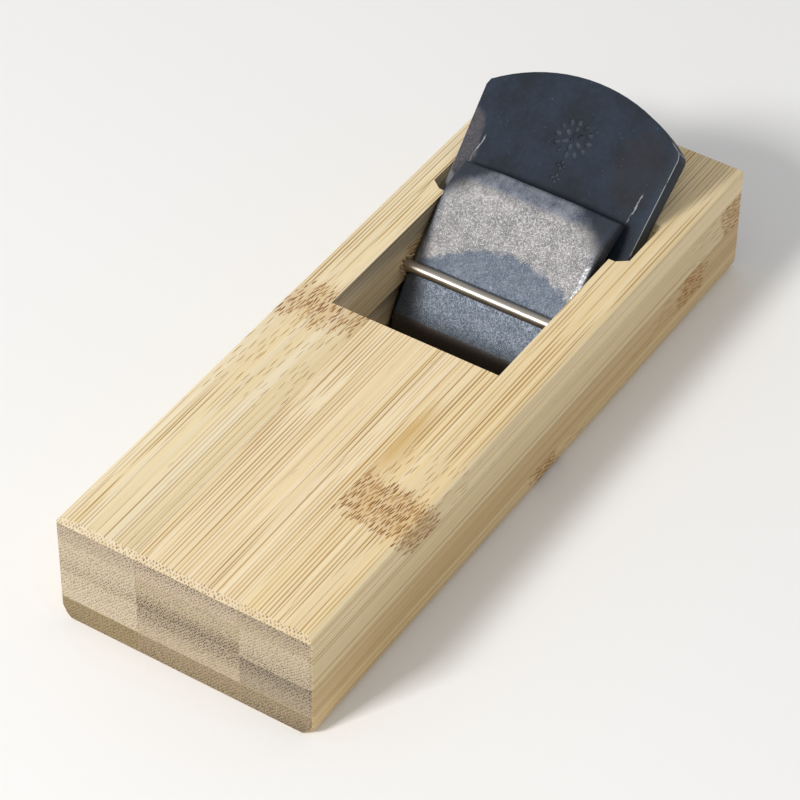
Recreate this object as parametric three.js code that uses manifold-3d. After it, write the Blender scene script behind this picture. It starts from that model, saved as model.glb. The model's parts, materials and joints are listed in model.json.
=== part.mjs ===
// A small wooden hand plane of the pull-stroke kind, in millimetres, +Z up.
// The origin is the centre of the sole. -X is the front end, +X the rear end that the
// blade leans towards, and +Y the left cheek.
//
// The block is glued up from bamboo: four plies of three strips each. The throat cuts every
// middle strip in two, so a ply ends up as four pieces of bamboo. The blade is a wedge that
// lies on a sloping bed, with its edges caught in a groove in each cheek. A chip breaker
// lies on the blade on its lower edge and its two bent ears, and a steel cross pin keeps it
// down.

import * as THREE from 'three';
import { ConvexGeometry } from 'three/addons/geometries/ConvexGeometry.js';
import { mergeVertices } from 'three/addons/utils/BufferGeometryUtils.js';
import Module from 'manifold-3d';

const wasm = await Module();
wasm.setup();

// ---------------------------------------------------------------- driving dimensions

const BLOCK_LENGTH = 162.5;
const BLOCK_WIDTH = 58;
const BLOCK_HEIGHT = 26.2;

// Plies, counted up from the sole. The top ply takes the rest of the height.
const SOLE_PLY = 5.6;
const LOWER_PLY = 7.3;
const UPPER_PLY = 7.8;

// Strips across a ply. The middle strip takes the rest of the width.
const LEFT_STRIP = 18.4;
const RIGHT_STRIP = 16.2;

// Eased arrises of the block.
const TOP_EDGE_RADIUS = 1.7;
const SOLE_EDGE_CHAMFER = 1.8;
const FRONT_TOP_CHAMFER = 1.1;
const REAR_TOP_CHAMFER = 0.5;
const END_SOLE_CHAMFER = 0.3;
const CORNER_CHAMFER = 0.5;
const ARC_STEPS = 4;

// Throat and mouth. The side walls of the throat stand inside the blade's cutting edge by
// the depth of the groove there.
const GROOVE_DEPTH = 1.3;
const FRONT_WALL_ANGLE = 51.5;
const LIP_HEIGHT = 2.6;
const MOUTH_GAP = 1.3;
const FLARE_REACH = 7.2;
const FLARE_SLANT = 3.2;
const FLARE_DEPTH = 7;

// Blade. The groove and the bed are cut from the same sizes.
const EDGE_FROM_FRONT = 99.5;
const EDGE_LIFT = 0.3;
const BED_ANGLE = 38.66;
const BLADE_TAPER = 2.14;
const BLADE_LENGTH = 67.3;
const BLADE_EDGE_WIDTH = 42;
const BLADE_SHOULDER_WIDTH = 46.4;
const BLADE_HEAD_RADIUS = 38.6;
const BLADE_EDGE_THICKNESS = 2.8;
const BLADE_BEVEL_ANGLE = 28;
const BLADE_CORNER_ROUND = 1;
const BLADE_EAR_WIDTH = 1.6;
const BLADE_EAR_LENGTH = 4.5;
const HEAD_STEPS = 20;
const BLADE_STEEL_THICKNESS = 1;
const BLADE_STEEL_LENGTH = 36;
const BLADE_STEEL_RADIUS = 60;

// Chip breaker.
const BREAKER_SETBACK = 0.7;
const BREAKER_LENGTH = 40.9;
const BREAKER_STAND_OFF = 3.0;
const BREAKER_HEIGHT_AT_PIN = 6.4;
const BREAKER_RISE = 0.03;
const BREAKER_BEVEL_LENGTH = 14.2;
const BREAKER_BEVEL_RISE = 0.22;
const BREAKER_NOSE_LENGTH = 4.9;
const BREAKER_TIP_HEIGHT = 0.8;
const BREAKER_TIP_LENGTH = 0.45;
const BREAKER_ROLL_LENGTH = 4.6;
const BREAKER_ROLL_DROP = 1.2;
const BREAKER_STEEL_THICKNESS = 0.8;
const BREAKER_STEEL_LENGTH = 13;
const EAR_FOLD_IN = 9.5;
const EAR_FOLD_DOWN = 7.5;

// Cross pin.
const PIN_RADIUS = 1.33;
const PIN_ALONG_BLADE = 16.4;
const PIN_END_IN_RIGHT_CHEEK = 5;
const PIN_BELOW_LEFT_FACE = 1;
const PIN_SIDES = 24;

// Clearances. The groove is wider than the blade, so that the blade can be tapped sideways
// to level its edge, and the blade stands a little to the left in it.
const BLADE_GAP = 0.3;
const BLADE_SIDE_PLAY = 1.1;
const BREAKER_SIDE_GAP = 0.95;
const BLADE_SHIFT = 0.5;
const BREAKER_GAP = 0.3;
const PIN_HOLE_GAP = 0.1;
const WELD_GAP = 0.02;
const CUT_MARGIN = 5;
const SOLE_MARGIN = 1;

// ---------------------------------------------------------------- derived places

const radians = THREE.MathUtils.degToRad;

const FRONT_X = -BLOCK_LENGTH / 2;
const REAR_X = BLOCK_LENGTH / 2;
const LEFT_Y = BLOCK_WIDTH / 2;
const RIGHT_Y = -BLOCK_WIDTH / 2;

const THROAT_WIDTH = BLADE_EDGE_WIDTH - 2 * GROOVE_DEPTH;
const BREAKER_WIDTH = THROAT_WIDTH - 2 * BREAKER_SIDE_GAP;

// The polished front face of the blade, which starts at the cutting edge.
const FACE_ANGLE = BED_ANGLE + BLADE_TAPER;
const EDGE_X = FRONT_X + EDGE_FROM_FRONT;
const TAPER_RISE = Math.tan(radians(BLADE_TAPER));

const PIN_HEIGHT = BREAKER_HEIGHT_AT_PIN + 2 * BREAKER_GAP + PIN_RADIUS;

// A point given along the blade's face and off it, in the row's own X and Z.
function onFace(along, off) {
  const angle = radians(FACE_ANGLE);
  const x = EDGE_X + along * Math.cos(angle) - off * Math.sin(angle);
  const z = EDGE_LIFT + along * Math.sin(angle) + off * Math.cos(angle);
  return new THREE.Vector2(x, z);
}

function bladeThickness(along) {
  return BLADE_EDGE_THICKNESS + along * TAPER_RISE;
}

// ---------------------------------------------------------------- solids and meshes

function solidOf(geometry) {
  const bare = geometry.clone();
  bare.deleteAttribute('normal');
  bare.deleteAttribute('uv');
  const merged = mergeVertices(bare);
  const vertProperties = Float32Array.from(merged.attributes.position.array);
  const triVerts = Uint32Array.from(merged.index.array);
  return new wasm.Manifold(new wasm.Mesh({ numProp: 3, vertProperties, triVerts }));
}

function geometryOf(solid) {
  const mesh = solid.getMesh();
  const geometry = new THREE.BufferGeometry();
  geometry.setAttribute('position', new THREE.BufferAttribute(mesh.vertProperties, 3));
  geometry.setIndex(new THREE.BufferAttribute(mesh.triVerts, 1));
  geometry.computeVertexNormals();
  return geometry;
}

// A prism whose outline is drawn in X and Z, and which runs from one Y to another.
function prismAcross(outline, fromY, toY) {
  const shape = new THREE.Shape(outline);
  const geometry = new THREE.ExtrudeGeometry(shape, { depth: toY - fromY, bevelEnabled: false });
  geometry.rotateX(Math.PI / 2);
  geometry.translate(0, toY, 0);
  return solidOf(geometry);
}

// A prism whose outline is drawn in Y and Z, and which runs from one X to another.
function prismAlong(outline, fromX, toX) {
  const shape = new THREE.Shape(outline);
  const geometry = new THREE.ExtrudeGeometry(shape, { depth: toX - fromX, bevelEnabled: false });
  const turn = new THREE.Matrix4().makeBasis(
    new THREE.Vector3(0, 1, 0),
    new THREE.Vector3(0, 0, 1),
    new THREE.Vector3(1, 0, 0),
  );
  geometry.applyMatrix4(turn);
  geometry.translate(fromX, 0, 0);
  return solidOf(geometry);
}

// A prism whose outline is drawn in X and Y, and which runs from one Z to another.
function prismUp(outline, fromZ, toZ) {
  const shape = new THREE.Shape(outline);
  const geometry = new THREE.ExtrudeGeometry(shape, { depth: toZ - fromZ, bevelEnabled: false });
  geometry.translate(0, 0, fromZ);
  return solidOf(geometry);
}

function boxBetween(low, high) {
  const geometry = new THREE.BoxGeometry(high.x - low.x, high.y - low.y, high.z - low.z);
  geometry.translate((low.x + high.x) / 2, (low.y + high.y) / 2, (low.z + high.z) / 2);
  return solidOf(geometry);
}

// The corners of a rectangle, each cut off by its own chamfer, anticlockwise from the low,
// low corner.
function chamferedRectangle(low, high, chamfers) {
  const [lowLow, highLow, highHigh, lowHigh] = chamfers;
  return [
    new THREE.Vector2(low.x + lowLow, low.y),
    new THREE.Vector2(high.x - highLow, low.y),
    new THREE.Vector2(high.x, low.y + highLow),
    new THREE.Vector2(high.x, high.y - highHigh),
    new THREE.Vector2(high.x - highHigh, high.y),
    new THREE.Vector2(low.x + lowHigh, high.y),
    new THREE.Vector2(low.x, high.y - lowHigh),
    new THREE.Vector2(low.x, low.y + lowLow),
  ];
}

// ---------------------------------------------------------------- the eased block

// The block's end view: rounded along the top edges, chamfered along the sole.
function endOutline() {
  const points = [
    new THREE.Vector2(RIGHT_Y + SOLE_EDGE_CHAMFER, 0),
    new THREE.Vector2(LEFT_Y - SOLE_EDGE_CHAMFER, 0),
    new THREE.Vector2(LEFT_Y, SOLE_EDGE_CHAMFER),
  ];
  for (const side of [1, -1]) {
    for (let step = 0; step <= ARC_STEPS; step += 1) {
      const share = side > 0 ? step : ARC_STEPS - step;
      const angle = (share / ARC_STEPS) * (Math.PI / 2);
      const y = LEFT_Y - TOP_EDGE_RADIUS + TOP_EDGE_RADIUS * Math.cos(angle);
      const z = BLOCK_HEIGHT - TOP_EDGE_RADIUS + TOP_EDGE_RADIUS * Math.sin(angle);
      points.push(new THREE.Vector2(side * y, z));
    }
  }
  points.push(new THREE.Vector2(RIGHT_Y, SOLE_EDGE_CHAMFER));
  return points;
}

function easedBlock() {
  const sideOutline = chamferedRectangle(
    new THREE.Vector2(FRONT_X, 0),
    new THREE.Vector2(REAR_X, BLOCK_HEIGHT),
    [END_SOLE_CHAMFER, END_SOLE_CHAMFER, REAR_TOP_CHAMFER, FRONT_TOP_CHAMFER],
  );
  const planOutline = chamferedRectangle(
    new THREE.Vector2(FRONT_X, RIGHT_Y),
    new THREE.Vector2(REAR_X, LEFT_Y),
    [CORNER_CHAMFER, CORNER_CHAMFER, CORNER_CHAMFER, CORNER_CHAMFER],
  );
  return prismAlong(endOutline(), FRONT_X, REAR_X)
    .intersect(prismAcross(sideOutline, RIGHT_Y, LEFT_Y))
    .intersect(prismUp(planOutline, 0, BLOCK_HEIGHT));
}

// ---------------------------------------------------------------- the cuts in the block

// The blade bed: a straight line at the bed's slope, one clearance behind the blade.
function onBed(along) {
  return onFace(along, -bladeThickness(along) - BLADE_GAP);
}

// The height above the sole sets how far up a sloping line has to run.
function alongForHeight(height, off) {
  return (height - EDGE_LIFT - off * Math.cos(radians(FACE_ANGLE))) / Math.sin(radians(FACE_ANGLE));
}

const ABOVE_BLOCK = BLOCK_HEIGHT + CUT_MARGIN;
const LIP_X = EDGE_X - MOUTH_GAP;

// The throat: a sloping front wall, a short upright lip at the mouth, and the bed behind.
function throatCut() {
  const wallRun = 1 / Math.tan(radians(FRONT_WALL_ANGLE));
  const wallTop = LIP_X - (ABOVE_BLOCK - LIP_HEIGHT) * wallRun;
  const bedLow = onBed(alongForHeight(-SOLE_MARGIN, -BLADE_EDGE_THICKNESS));
  const bedHigh = onBed(alongForHeight(ABOVE_BLOCK, -BLADE_EDGE_THICKNESS));
  const outline = [
    new THREE.Vector2(LIP_X, bedLow.y),
    bedLow,
    bedHigh,
    new THREE.Vector2(wallTop, ABOVE_BLOCK),
    new THREE.Vector2(LIP_X, LIP_HEIGHT),
  ];
  return prismAcross(outline, -THROAT_WIDTH / 2, THROAT_WIDTH / 2);
}

function bladeHalfWidth(along) {
  const shoulder = bladeShoulder();
  const share = along / shoulder;
  return (BLADE_EDGE_WIDTH + (BLADE_SHOULDER_WIDTH - BLADE_EDGE_WIDTH) * share) / 2;
}

// Where the blade's straight sides meet the round of its head.
function bladeShoulder() {
  const half = BLADE_SHOULDER_WIDTH / 2;
  return BLADE_LENGTH - BLADE_HEAD_RADIUS + Math.sqrt(BLADE_HEAD_RADIUS ** 2 - half ** 2);
}

// The turned frame of the slot: its X runs up the blade's face, its Z stands off it.
function slotFrame() {
  const group = new THREE.Group();
  group.position.set(EDGE_X, 0, EDGE_LIFT);
  group.rotation.y = -radians(FACE_ANGLE);
  group.updateMatrix();
  return group;
}

// The slot that the blade slides in. Its outline follows the blade's tapering sides, so
// it is widest at the top of the block.
function bladeSlot() {
  const low = alongForHeight(-CUT_MARGIN, 0);
  const high = alongForHeight(ABOVE_BLOCK, -bladeThickness(BLADE_LENGTH));
  const plan = [
    new THREE.Vector2(low, -bladeHalfWidth(low) - BLADE_SIDE_PLAY),
    new THREE.Vector2(high, -bladeHalfWidth(high) - BLADE_SIDE_PLAY),
    new THREE.Vector2(high, bladeHalfWidth(high) + BLADE_SIDE_PLAY),
    new THREE.Vector2(low, bladeHalfWidth(low) + BLADE_SIDE_PLAY),
  ];
  const side = [
    new THREE.Vector2(low, -bladeThickness(low) - BLADE_GAP),
    new THREE.Vector2(high, -bladeThickness(high) - BLADE_GAP),
    new THREE.Vector2(high, BLADE_GAP),
    new THREE.Vector2(low, BLADE_GAP),
  ];
  const slot = prismUp(plan, -BLOCK_HEIGHT, BLOCK_HEIGHT)
    .intersect(prismAcross(side, -BLOCK_WIDTH, BLOCK_WIDTH));
  return slot.transform(slotFrame().matrix.elements);
}

// The slanting relief where each groove comes out at the top of the block.
function grooveFlare(side) {
  const lowAlong = alongForHeight(BLOCK_HEIGHT - FLARE_DEPTH, 0);
  const topAlong = alongForHeight(BLOCK_HEIGHT, 0);
  const inner = THROAT_WIDTH / 2 - BLADE_GAP;
  const outer = bladeHalfWidth(topAlong) + BLADE_SIDE_PLAY;
  const faceTop = onFace(topAlong, 0).x;
  const low = onFace(lowAlong, BLADE_GAP);
  const behindLow = onFace(lowAlong, -BLADE_EDGE_THICKNESS);
  const rows = [
    [faceTop - FLARE_REACH, inner, BLOCK_HEIGHT],
    [faceTop - FLARE_REACH + FLARE_SLANT, outer, BLOCK_HEIGHT],
    [faceTop - FLARE_REACH, inner, ABOVE_BLOCK],
    [faceTop - FLARE_REACH + FLARE_SLANT, outer, ABOVE_BLOCK],
    [faceTop, inner, ABOVE_BLOCK],
    [faceTop, outer, ABOVE_BLOCK],
    [faceTop, inner, BLOCK_HEIGHT],
    [faceTop, outer, BLOCK_HEIGHT],
    [low.x, inner, low.y],
    [low.x, outer, low.y],
    [behindLow.x, inner, behindLow.y],
    [behindLow.x, outer, behindLow.y],
  ];
  const points = rows.map(([x, y, z]) => new THREE.Vector3(x, side * y, z));
  return solidOf(new ConvexGeometry(points));
}

function pinCylinder(radius, fromY, toY) {
  const place = onFace(PIN_ALONG_BLADE, PIN_HEIGHT);
  const geometry = new THREE.CylinderGeometry(radius, radius, toY - fromY, PIN_SIDES);
  geometry.translate(place.x, (fromY + toY) / 2, place.y);
  return geometry;
}

const PIN_RIGHT_END = -THROAT_WIDTH / 2 - PIN_END_IN_RIGHT_CHEEK;
const PIN_LEFT_END = LEFT_Y - PIN_BELOW_LEFT_FACE;

// The pin's hole is drilled in from the left face and stops inside the right cheek.
function pinHole() {
  const end = PIN_RIGHT_END - PIN_HOLE_GAP;
  return solidOf(pinCylinder(PIN_RADIUS + PIN_HOLE_GAP, end, LEFT_Y + CUT_MARGIN));
}

function cutBlock() {
  return easedBlock()
    .subtract(throatCut())
    .subtract(bladeSlot())
    .subtract(grooveFlare(1))
    .subtract(grooveFlare(-1))
    .subtract(pinHole());
}

// ---------------------------------------------------------------- bamboo strips

const bambooColours = {
  sole: 0xc2a778,
  lower: 0xd2b98a,
  upper: 0xd9c294,
  top: 0xe6d2a4,
};

function bambooMaterial(ply) {
  return new THREE.MeshStandardMaterial({
    color: bambooColours[ply],
    roughness: 0.62,
    metalness: 0,
  });
}

const PLY_SEAMS = [0, SOLE_PLY, SOLE_PLY + LOWER_PLY, SOLE_PLY + LOWER_PLY + UPPER_PLY, BLOCK_HEIGHT];
const PLIES = ['sole', 'lower', 'upper', 'top'];
const COLUMN_SEAMS = [RIGHT_Y, RIGHT_Y + RIGHT_STRIP, LEFT_Y - LEFT_STRIP, LEFT_Y];
const COLUMNS = ['right', 'middle', 'left'];

function bambooStrips() {
  const block = cutBlock();
  const meshes = [];
  PLIES.forEach((ply, layer) => {
    COLUMNS.forEach((column, row) => {
      const low = new THREE.Vector3(FRONT_X, COLUMN_SEAMS[row], PLY_SEAMS[layer]);
      const high = new THREE.Vector3(REAR_X, COLUMN_SEAMS[row + 1], PLY_SEAMS[layer + 1]);
      const strip = block.intersect(boxBetween(low, high));
      const pieces = strip.decompose();
      pieces.sort((a, b) => a.boundingBox().min[0] - b.boundingBox().min[0]);
      const ends = pieces.length > 1 ? ['_front', '_rear'] : [''];
      pieces.forEach((piece, index) => {
        const mesh = new THREE.Mesh(geometryOf(piece), bambooMaterial(ply));
        mesh.name = `${ply}_ply_${column}_strip${ends[index]}`;
        meshes.push(mesh);
      });
    });
  });
  return meshes;
}

// ---------------------------------------------------------------- blade

// The blade seen square to its face: corners ground off beside the cutting edge, sides
// that widen upwards, and a round head.
function bladePlan() {
  const shoulder = bladeShoulder() - BLADE_CORNER_ROUND;
  const headCentre = BLADE_LENGTH - BLADE_HEAD_RADIUS;
  const cornerHalf = BLADE_SHOULDER_WIDTH / 2 - BLADE_CORNER_ROUND / 2;
  const spread = Math.asin(cornerHalf / BLADE_HEAD_RADIUS);
  const edgeHalf = BLADE_EDGE_WIDTH / 2;
  const points = [
    new THREE.Vector2(BLADE_EAR_LENGTH, -bladeHalfWidth(BLADE_EAR_LENGTH)),
    new THREE.Vector2(shoulder, -bladeHalfWidth(shoulder)),
  ];
  for (let step = 0; step <= HEAD_STEPS; step += 1) {
    const angle = -spread + (2 * spread * step) / HEAD_STEPS;
    const x = headCentre + BLADE_HEAD_RADIUS * Math.cos(angle);
    points.push(new THREE.Vector2(x, BLADE_HEAD_RADIUS * Math.sin(angle)));
  }
  points.push(new THREE.Vector2(shoulder, bladeHalfWidth(shoulder)));
  points.push(new THREE.Vector2(BLADE_EAR_LENGTH, bladeHalfWidth(BLADE_EAR_LENGTH)));
  points.push(new THREE.Vector2(0, edgeHalf - BLADE_EAR_WIDTH));
  points.push(new THREE.Vector2(0, BLADE_EAR_WIDTH - edgeHalf));
  return points;
}

// The wedge seen from the side, with the bevel that leads to the cutting edge.
function bladeSide() {
  const bevelRise = Math.tan(radians(BLADE_BEVEL_ANGLE));
  const bevelEnd = BLADE_EDGE_THICKNESS / (bevelRise - TAPER_RISE);
  return [
    new THREE.Vector2(0, 0),
    new THREE.Vector2(bevelEnd, -bladeThickness(bevelEnd)),
    new THREE.Vector2(BLADE_LENGTH, -bladeThickness(BLADE_LENGTH)),
    new THREE.Vector2(BLADE_LENGTH, 0),
  ];
}

// The hard steel is laid into the face from the edge up and ends in a shallow arc.
function steelRegion(thickness, grow) {
  const centre = BLADE_STEEL_LENGTH - BLADE_STEEL_RADIUS;
  const radius = BLADE_STEEL_RADIUS + grow;
  const height = 2 * (thickness + grow);
  const geometry = new THREE.CylinderGeometry(radius, radius, height, 2 * ARC_STEPS * HEAD_STEPS);
  geometry.rotateX(Math.PI / 2);
  geometry.translate(centre, 0, 0);
  return solidOf(geometry);
}

function bladeSolid() {
  const half = BLADE_SHOULDER_WIDTH;
  return prismUp(bladePlan(), -BLOCK_HEIGHT, BLOCK_HEIGHT)
    .intersect(prismAcross(bladeSide(), -half, half));
}

function bladeMeshes() {
  const blade = bladeSolid();
  const iron = new THREE.Mesh(
    geometryOf(blade.subtract(steelRegion(BLADE_STEEL_THICKNESS, WELD_GAP))),
    new THREE.MeshStandardMaterial({ color: 0x3a4048, roughness: 0.5, metalness: 0.8 }),
  );
  iron.name = 'blade_iron_body';
  const steel = new THREE.Mesh(
    geometryOf(blade.intersect(steelRegion(BLADE_STEEL_THICKNESS, 0))),
    new THREE.MeshStandardMaterial({ color: 0xb4b8bc, roughness: 0.25, metalness: 1 }),
  );
  steel.name = 'blade_edge_steel';
  return [iron, steel];
}

// ---------------------------------------------------------------- chip breaker

// How far the upper corners are bent down, as a share of the stand-off. The fold runs
// slantwise across each corner, and the tip of the corner is bent the furthest.
function earBend(along, across) {
  const fromTop = BREAKER_LENGTH - along;
  const fromSide = BREAKER_WIDTH / 2 - Math.abs(across);
  return Math.max(0, 1 - fromTop / EAR_FOLD_DOWN - fromSide / EAR_FOLD_IN);
}

const UNDERSIDE_RISE = BREAKER_STAND_OFF / BREAKER_LENGTH;

function breakerUnderside(along) {
  return BREAKER_GAP + along * UNDERSIDE_RISE;
}

// The upper surface: a small steep tip, a nose, a long ground bevel, a flat that lies
// nearly parallel to the blade, and a rolled top edge.
function breakerTopPoints() {
  const pinAlong = PIN_ALONG_BLADE - BREAKER_SETBACK;
  const bevelTop = BREAKER_BEVEL_LENGTH;
  const topAt = (along) => (
    BREAKER_GAP + BREAKER_HEIGHT_AT_PIN + (along - pinAlong) * BREAKER_RISE
  );
  const noseTop = topAt(bevelTop) - (bevelTop - BREAKER_NOSE_LENGTH) * BREAKER_BEVEL_RISE;
  const rollStart = BREAKER_LENGTH - BREAKER_ROLL_LENGTH;
  const foldStart = BREAKER_LENGTH - EAR_FOLD_DOWN;
  const points = [
    [BREAKER_TIP_LENGTH, BREAKER_GAP + BREAKER_TIP_HEIGHT],
    [BREAKER_NOSE_LENGTH, noseTop],
    [bevelTop, topAt(bevelTop)],
    [foldStart, topAt(foldStart)],
  ];
  for (let step = 0; step <= ARC_STEPS; step += 1) {
    const share = step / ARC_STEPS;
    const along = rollStart + BREAKER_ROLL_LENGTH * share;
    points.push([along, topAt(along) - BREAKER_ROLL_DROP * share * share]);
  }
  return points;
}

// One slice through the breaker, from its tip back along the underside and forward again
// along the upper surface.
function breakerSection(across) {
  const drop = (along) => earBend(along, across) * BREAKER_STAND_OFF;
  const top = breakerTopPoints();
  const under = top.map(([along]) => [along, breakerUnderside(along) - drop(along)]);
  const upper = top.map(([along, off]) => [along, off - drop(along)]).reverse();
  return [[0, BREAKER_GAP], ...under, ...upper];
}

// Sections side by side across the width, joined into one closed skin.
function breakerSolid() {
  const half = BREAKER_WIDTH / 2;
  const foldAt = half - EAR_FOLD_IN;
  const stations = [];
  for (let step = 0; step <= ARC_STEPS; step += 1) {
    stations.push(foldAt + (EAR_FOLD_IN * step) / ARC_STEPS);
  }
  const across = [...stations.map((y) => -y).reverse(), ...stations];
  const sections = across.map(breakerSection);
  const count = sections[0].length;
  const positions = [];
  sections.forEach((section, index) => {
    section.forEach(([along, off]) => positions.push(along, across[index], off));
  });
  const faces = [];
  for (let row = 0; row + 1 < across.length; row += 1) {
    for (let column = 0; column < count; column += 1) {
      const next = (column + 1) % count;
      const a = row * count + column;
      const b = row * count + next;
      const c = (row + 1) * count + next;
      const d = (row + 1) * count + column;
      faces.push(a, d, c, a, c, b);
    }
  }
  const last = (across.length - 1) * count;
  const capOutline = sections[0].map(([along, off]) => new THREE.Vector2(along, off));
  for (const [p, q, r] of THREE.ShapeUtils.triangulateShape(capOutline, [])) {
    faces.push(p, q, r);
    faces.push(last + p, last + r, last + q);
  }
  const geometry = new THREE.BufferGeometry();
  geometry.setAttribute('position', new THREE.Float32BufferAttribute(positions, 3));
  geometry.setIndex(faces);
  return solidOf(geometry);
}

// The layer of hard steel along the underside of the nose.
function breakerSteelRegion(grow) {
  const end = BREAKER_STEEL_LENGTH + grow;
  const depth = BREAKER_STEEL_THICKNESS + grow;
  const outline = [
    new THREE.Vector2(-CUT_MARGIN, breakerUnderside(-CUT_MARGIN) - CUT_MARGIN),
    new THREE.Vector2(end, breakerUnderside(end) - CUT_MARGIN),
    new THREE.Vector2(end, breakerUnderside(end) + depth),
    new THREE.Vector2(-CUT_MARGIN, breakerUnderside(-CUT_MARGIN) + depth),
  ];
  return prismAcross(outline, -BREAKER_WIDTH, BREAKER_WIDTH);
}

function breakerMeshes() {
  const breaker = breakerSolid();
  const iron = new THREE.Mesh(
    geometryOf(breaker.subtract(breakerSteelRegion(WELD_GAP))),
    new THREE.MeshStandardMaterial({ color: 0x8c8d90, roughness: 0.45, metalness: 0.9 }),
  );
  iron.name = 'chip_breaker_iron_body';
  const steel = new THREE.Mesh(
    geometryOf(breaker.intersect(breakerSteelRegion(0))),
    new THREE.MeshStandardMaterial({ color: 0xb4b8bc, roughness: 0.25, metalness: 1 }),
  );
  steel.name = 'chip_breaker_edge_steel';
  return [iron, steel];
}

// ---------------------------------------------------------------- assembly

const plane = new THREE.Group();
bambooStrips().forEach((mesh) => plane.add(mesh));

const crossPin = new THREE.Mesh(
  pinCylinder(PIN_RADIUS, PIN_RIGHT_END, PIN_LEFT_END),
  new THREE.MeshStandardMaterial({ color: 0xc0b8a8, roughness: 0.2, metalness: 1 }),
);
crossPin.name = 'cross_pin';
plane.add(crossPin);

const bladeGroup = slotFrame();
bladeGroup.position.y = BLADE_SHIFT;
bladeMeshes().forEach((mesh) => bladeGroup.add(mesh));
plane.add(bladeGroup);

const breakerGroup = new THREE.Group();
breakerGroup.position.x = BREAKER_SETBACK;
breakerMeshes().forEach((mesh) => breakerGroup.add(mesh));
bladeGroup.add(breakerGroup);

export default plane;
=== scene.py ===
# %% [markdown]
# # A small pull plane with a bamboo block
#
# A hand plane of this kind has three moving groups: a wooden block, a thick wedge of a
# blade that lies on a sloping bed in it, and a chip breaker that lies on the blade under a
# steel cross pin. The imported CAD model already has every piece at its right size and
# place. This lesson gives those pieces their real surfaces: glued bamboo with fibres,
# end-grain dots and knots, forged iron with its blue-black scale, and ground steel.

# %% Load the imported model
import json
import math
from contextlib import contextmanager

import bmesh
import bpy
import numpy as np
from mathutils import Matrix, Vector
from mathutils.bvhtree import BVHTree


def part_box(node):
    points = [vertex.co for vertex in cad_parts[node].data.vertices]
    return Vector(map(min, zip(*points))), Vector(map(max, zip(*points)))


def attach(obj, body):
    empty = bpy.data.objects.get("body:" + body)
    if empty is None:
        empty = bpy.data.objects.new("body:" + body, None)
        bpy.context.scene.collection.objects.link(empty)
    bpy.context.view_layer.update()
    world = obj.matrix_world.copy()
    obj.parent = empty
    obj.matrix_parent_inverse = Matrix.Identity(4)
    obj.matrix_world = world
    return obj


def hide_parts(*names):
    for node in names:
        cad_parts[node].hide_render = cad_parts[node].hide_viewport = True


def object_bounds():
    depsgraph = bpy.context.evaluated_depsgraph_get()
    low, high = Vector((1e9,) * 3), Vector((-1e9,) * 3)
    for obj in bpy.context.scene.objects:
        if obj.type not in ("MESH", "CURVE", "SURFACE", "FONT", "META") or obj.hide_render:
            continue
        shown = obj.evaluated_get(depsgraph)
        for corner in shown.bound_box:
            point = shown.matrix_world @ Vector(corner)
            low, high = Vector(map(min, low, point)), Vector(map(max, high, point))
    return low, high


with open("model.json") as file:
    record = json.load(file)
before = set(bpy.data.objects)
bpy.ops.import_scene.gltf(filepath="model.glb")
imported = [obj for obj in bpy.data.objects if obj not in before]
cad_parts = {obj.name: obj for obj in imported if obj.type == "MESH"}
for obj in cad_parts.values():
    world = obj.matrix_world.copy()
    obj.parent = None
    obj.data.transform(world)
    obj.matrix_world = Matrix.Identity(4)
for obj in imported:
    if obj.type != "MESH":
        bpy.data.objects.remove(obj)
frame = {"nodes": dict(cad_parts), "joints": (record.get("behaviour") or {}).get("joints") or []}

cad_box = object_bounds()
print("nodes:", len(frame["nodes"]))

# %% [markdown]
# ## Places that the frame gives
#
# Everything is in metres, but the patterns on this small tool are easier to think of in
# millimetres. The blade lies at a slope, so it gets a frame of its own: it starts at the
# cutting edge, its X runs up the blade's face and its Z stands off the face. The chip
# breaker's joint slides along that same face, so the joint's axis gives the slope.

# %% Measure the block and the blade
MM = 0.001
joint_axes = {joint["name"]: Vector(joint["axis"]) for joint in frame["joints"]}
up_the_face = joint_axes["chip_breaker_slide"].normalized()
face_angle = math.atan2(up_the_face.z, up_the_face.x)

steel_low, steel_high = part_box("blade_edge_steel")
edge_point = Vector((steel_low.x, (steel_low.y + steel_high.y) / 2, steel_low.z))
blade_turn = Matrix.Rotation(-face_angle, 4, "Y")
blade_frame = Matrix.Translation(edge_point) @ blade_turn @ Matrix.Scale(MM, 4)

front_x = cad_box[0][0] / MM
print("slope of the blade's face:", round(math.degrees(face_angle), 2), "degrees")
print("cutting edge at:", [round(v / MM, 2) for v in edge_point], "mm")

# %% [markdown]
# ## The floor, the light and the camera
#
# A pale floor and a soft, bright room suit a product made of light wood and dark iron.
# One large lamp in front and to the left of the plane makes the shadows that show how
# deep the throat is. A dome of plain light fills the rest, brighter overhead than at the
# horizon, so that the steel has something to reflect.

# %% Make the floor
FLOOR_HALF = 3.0


def new_object(name, data):
    """An object of this name in the scene, for a mesh, a lamp or a camera."""
    thing = bpy.data.objects.new(name, data)
    bpy.context.scene.collection.objects.link(thing)
    return thing


def make_floor():
    mesh = bpy.data.meshes.new("floor")
    corners = [(-1, -1), (1, -1), (1, 1), (-1, 1)]
    mesh.from_pydata([(x * FLOOR_HALF, y * FLOOR_HALF, 0) for x, y in corners], [], [(0, 1, 2, 3)])
    finish = bpy.data.materials.new("pale_floor")
    finish.use_nodes = True
    shader = finish.node_tree.nodes["Principled BSDF"]
    shader.inputs["Base Color"].default_value = (0.93, 0.93, 0.93, 1)
    shader.inputs["Roughness"].default_value = 0.8
    mesh.materials.append(finish)
    new_object("floor", mesh)


make_floor()
print("floor of", 2 * FLOOR_HALF, "m")

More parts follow.
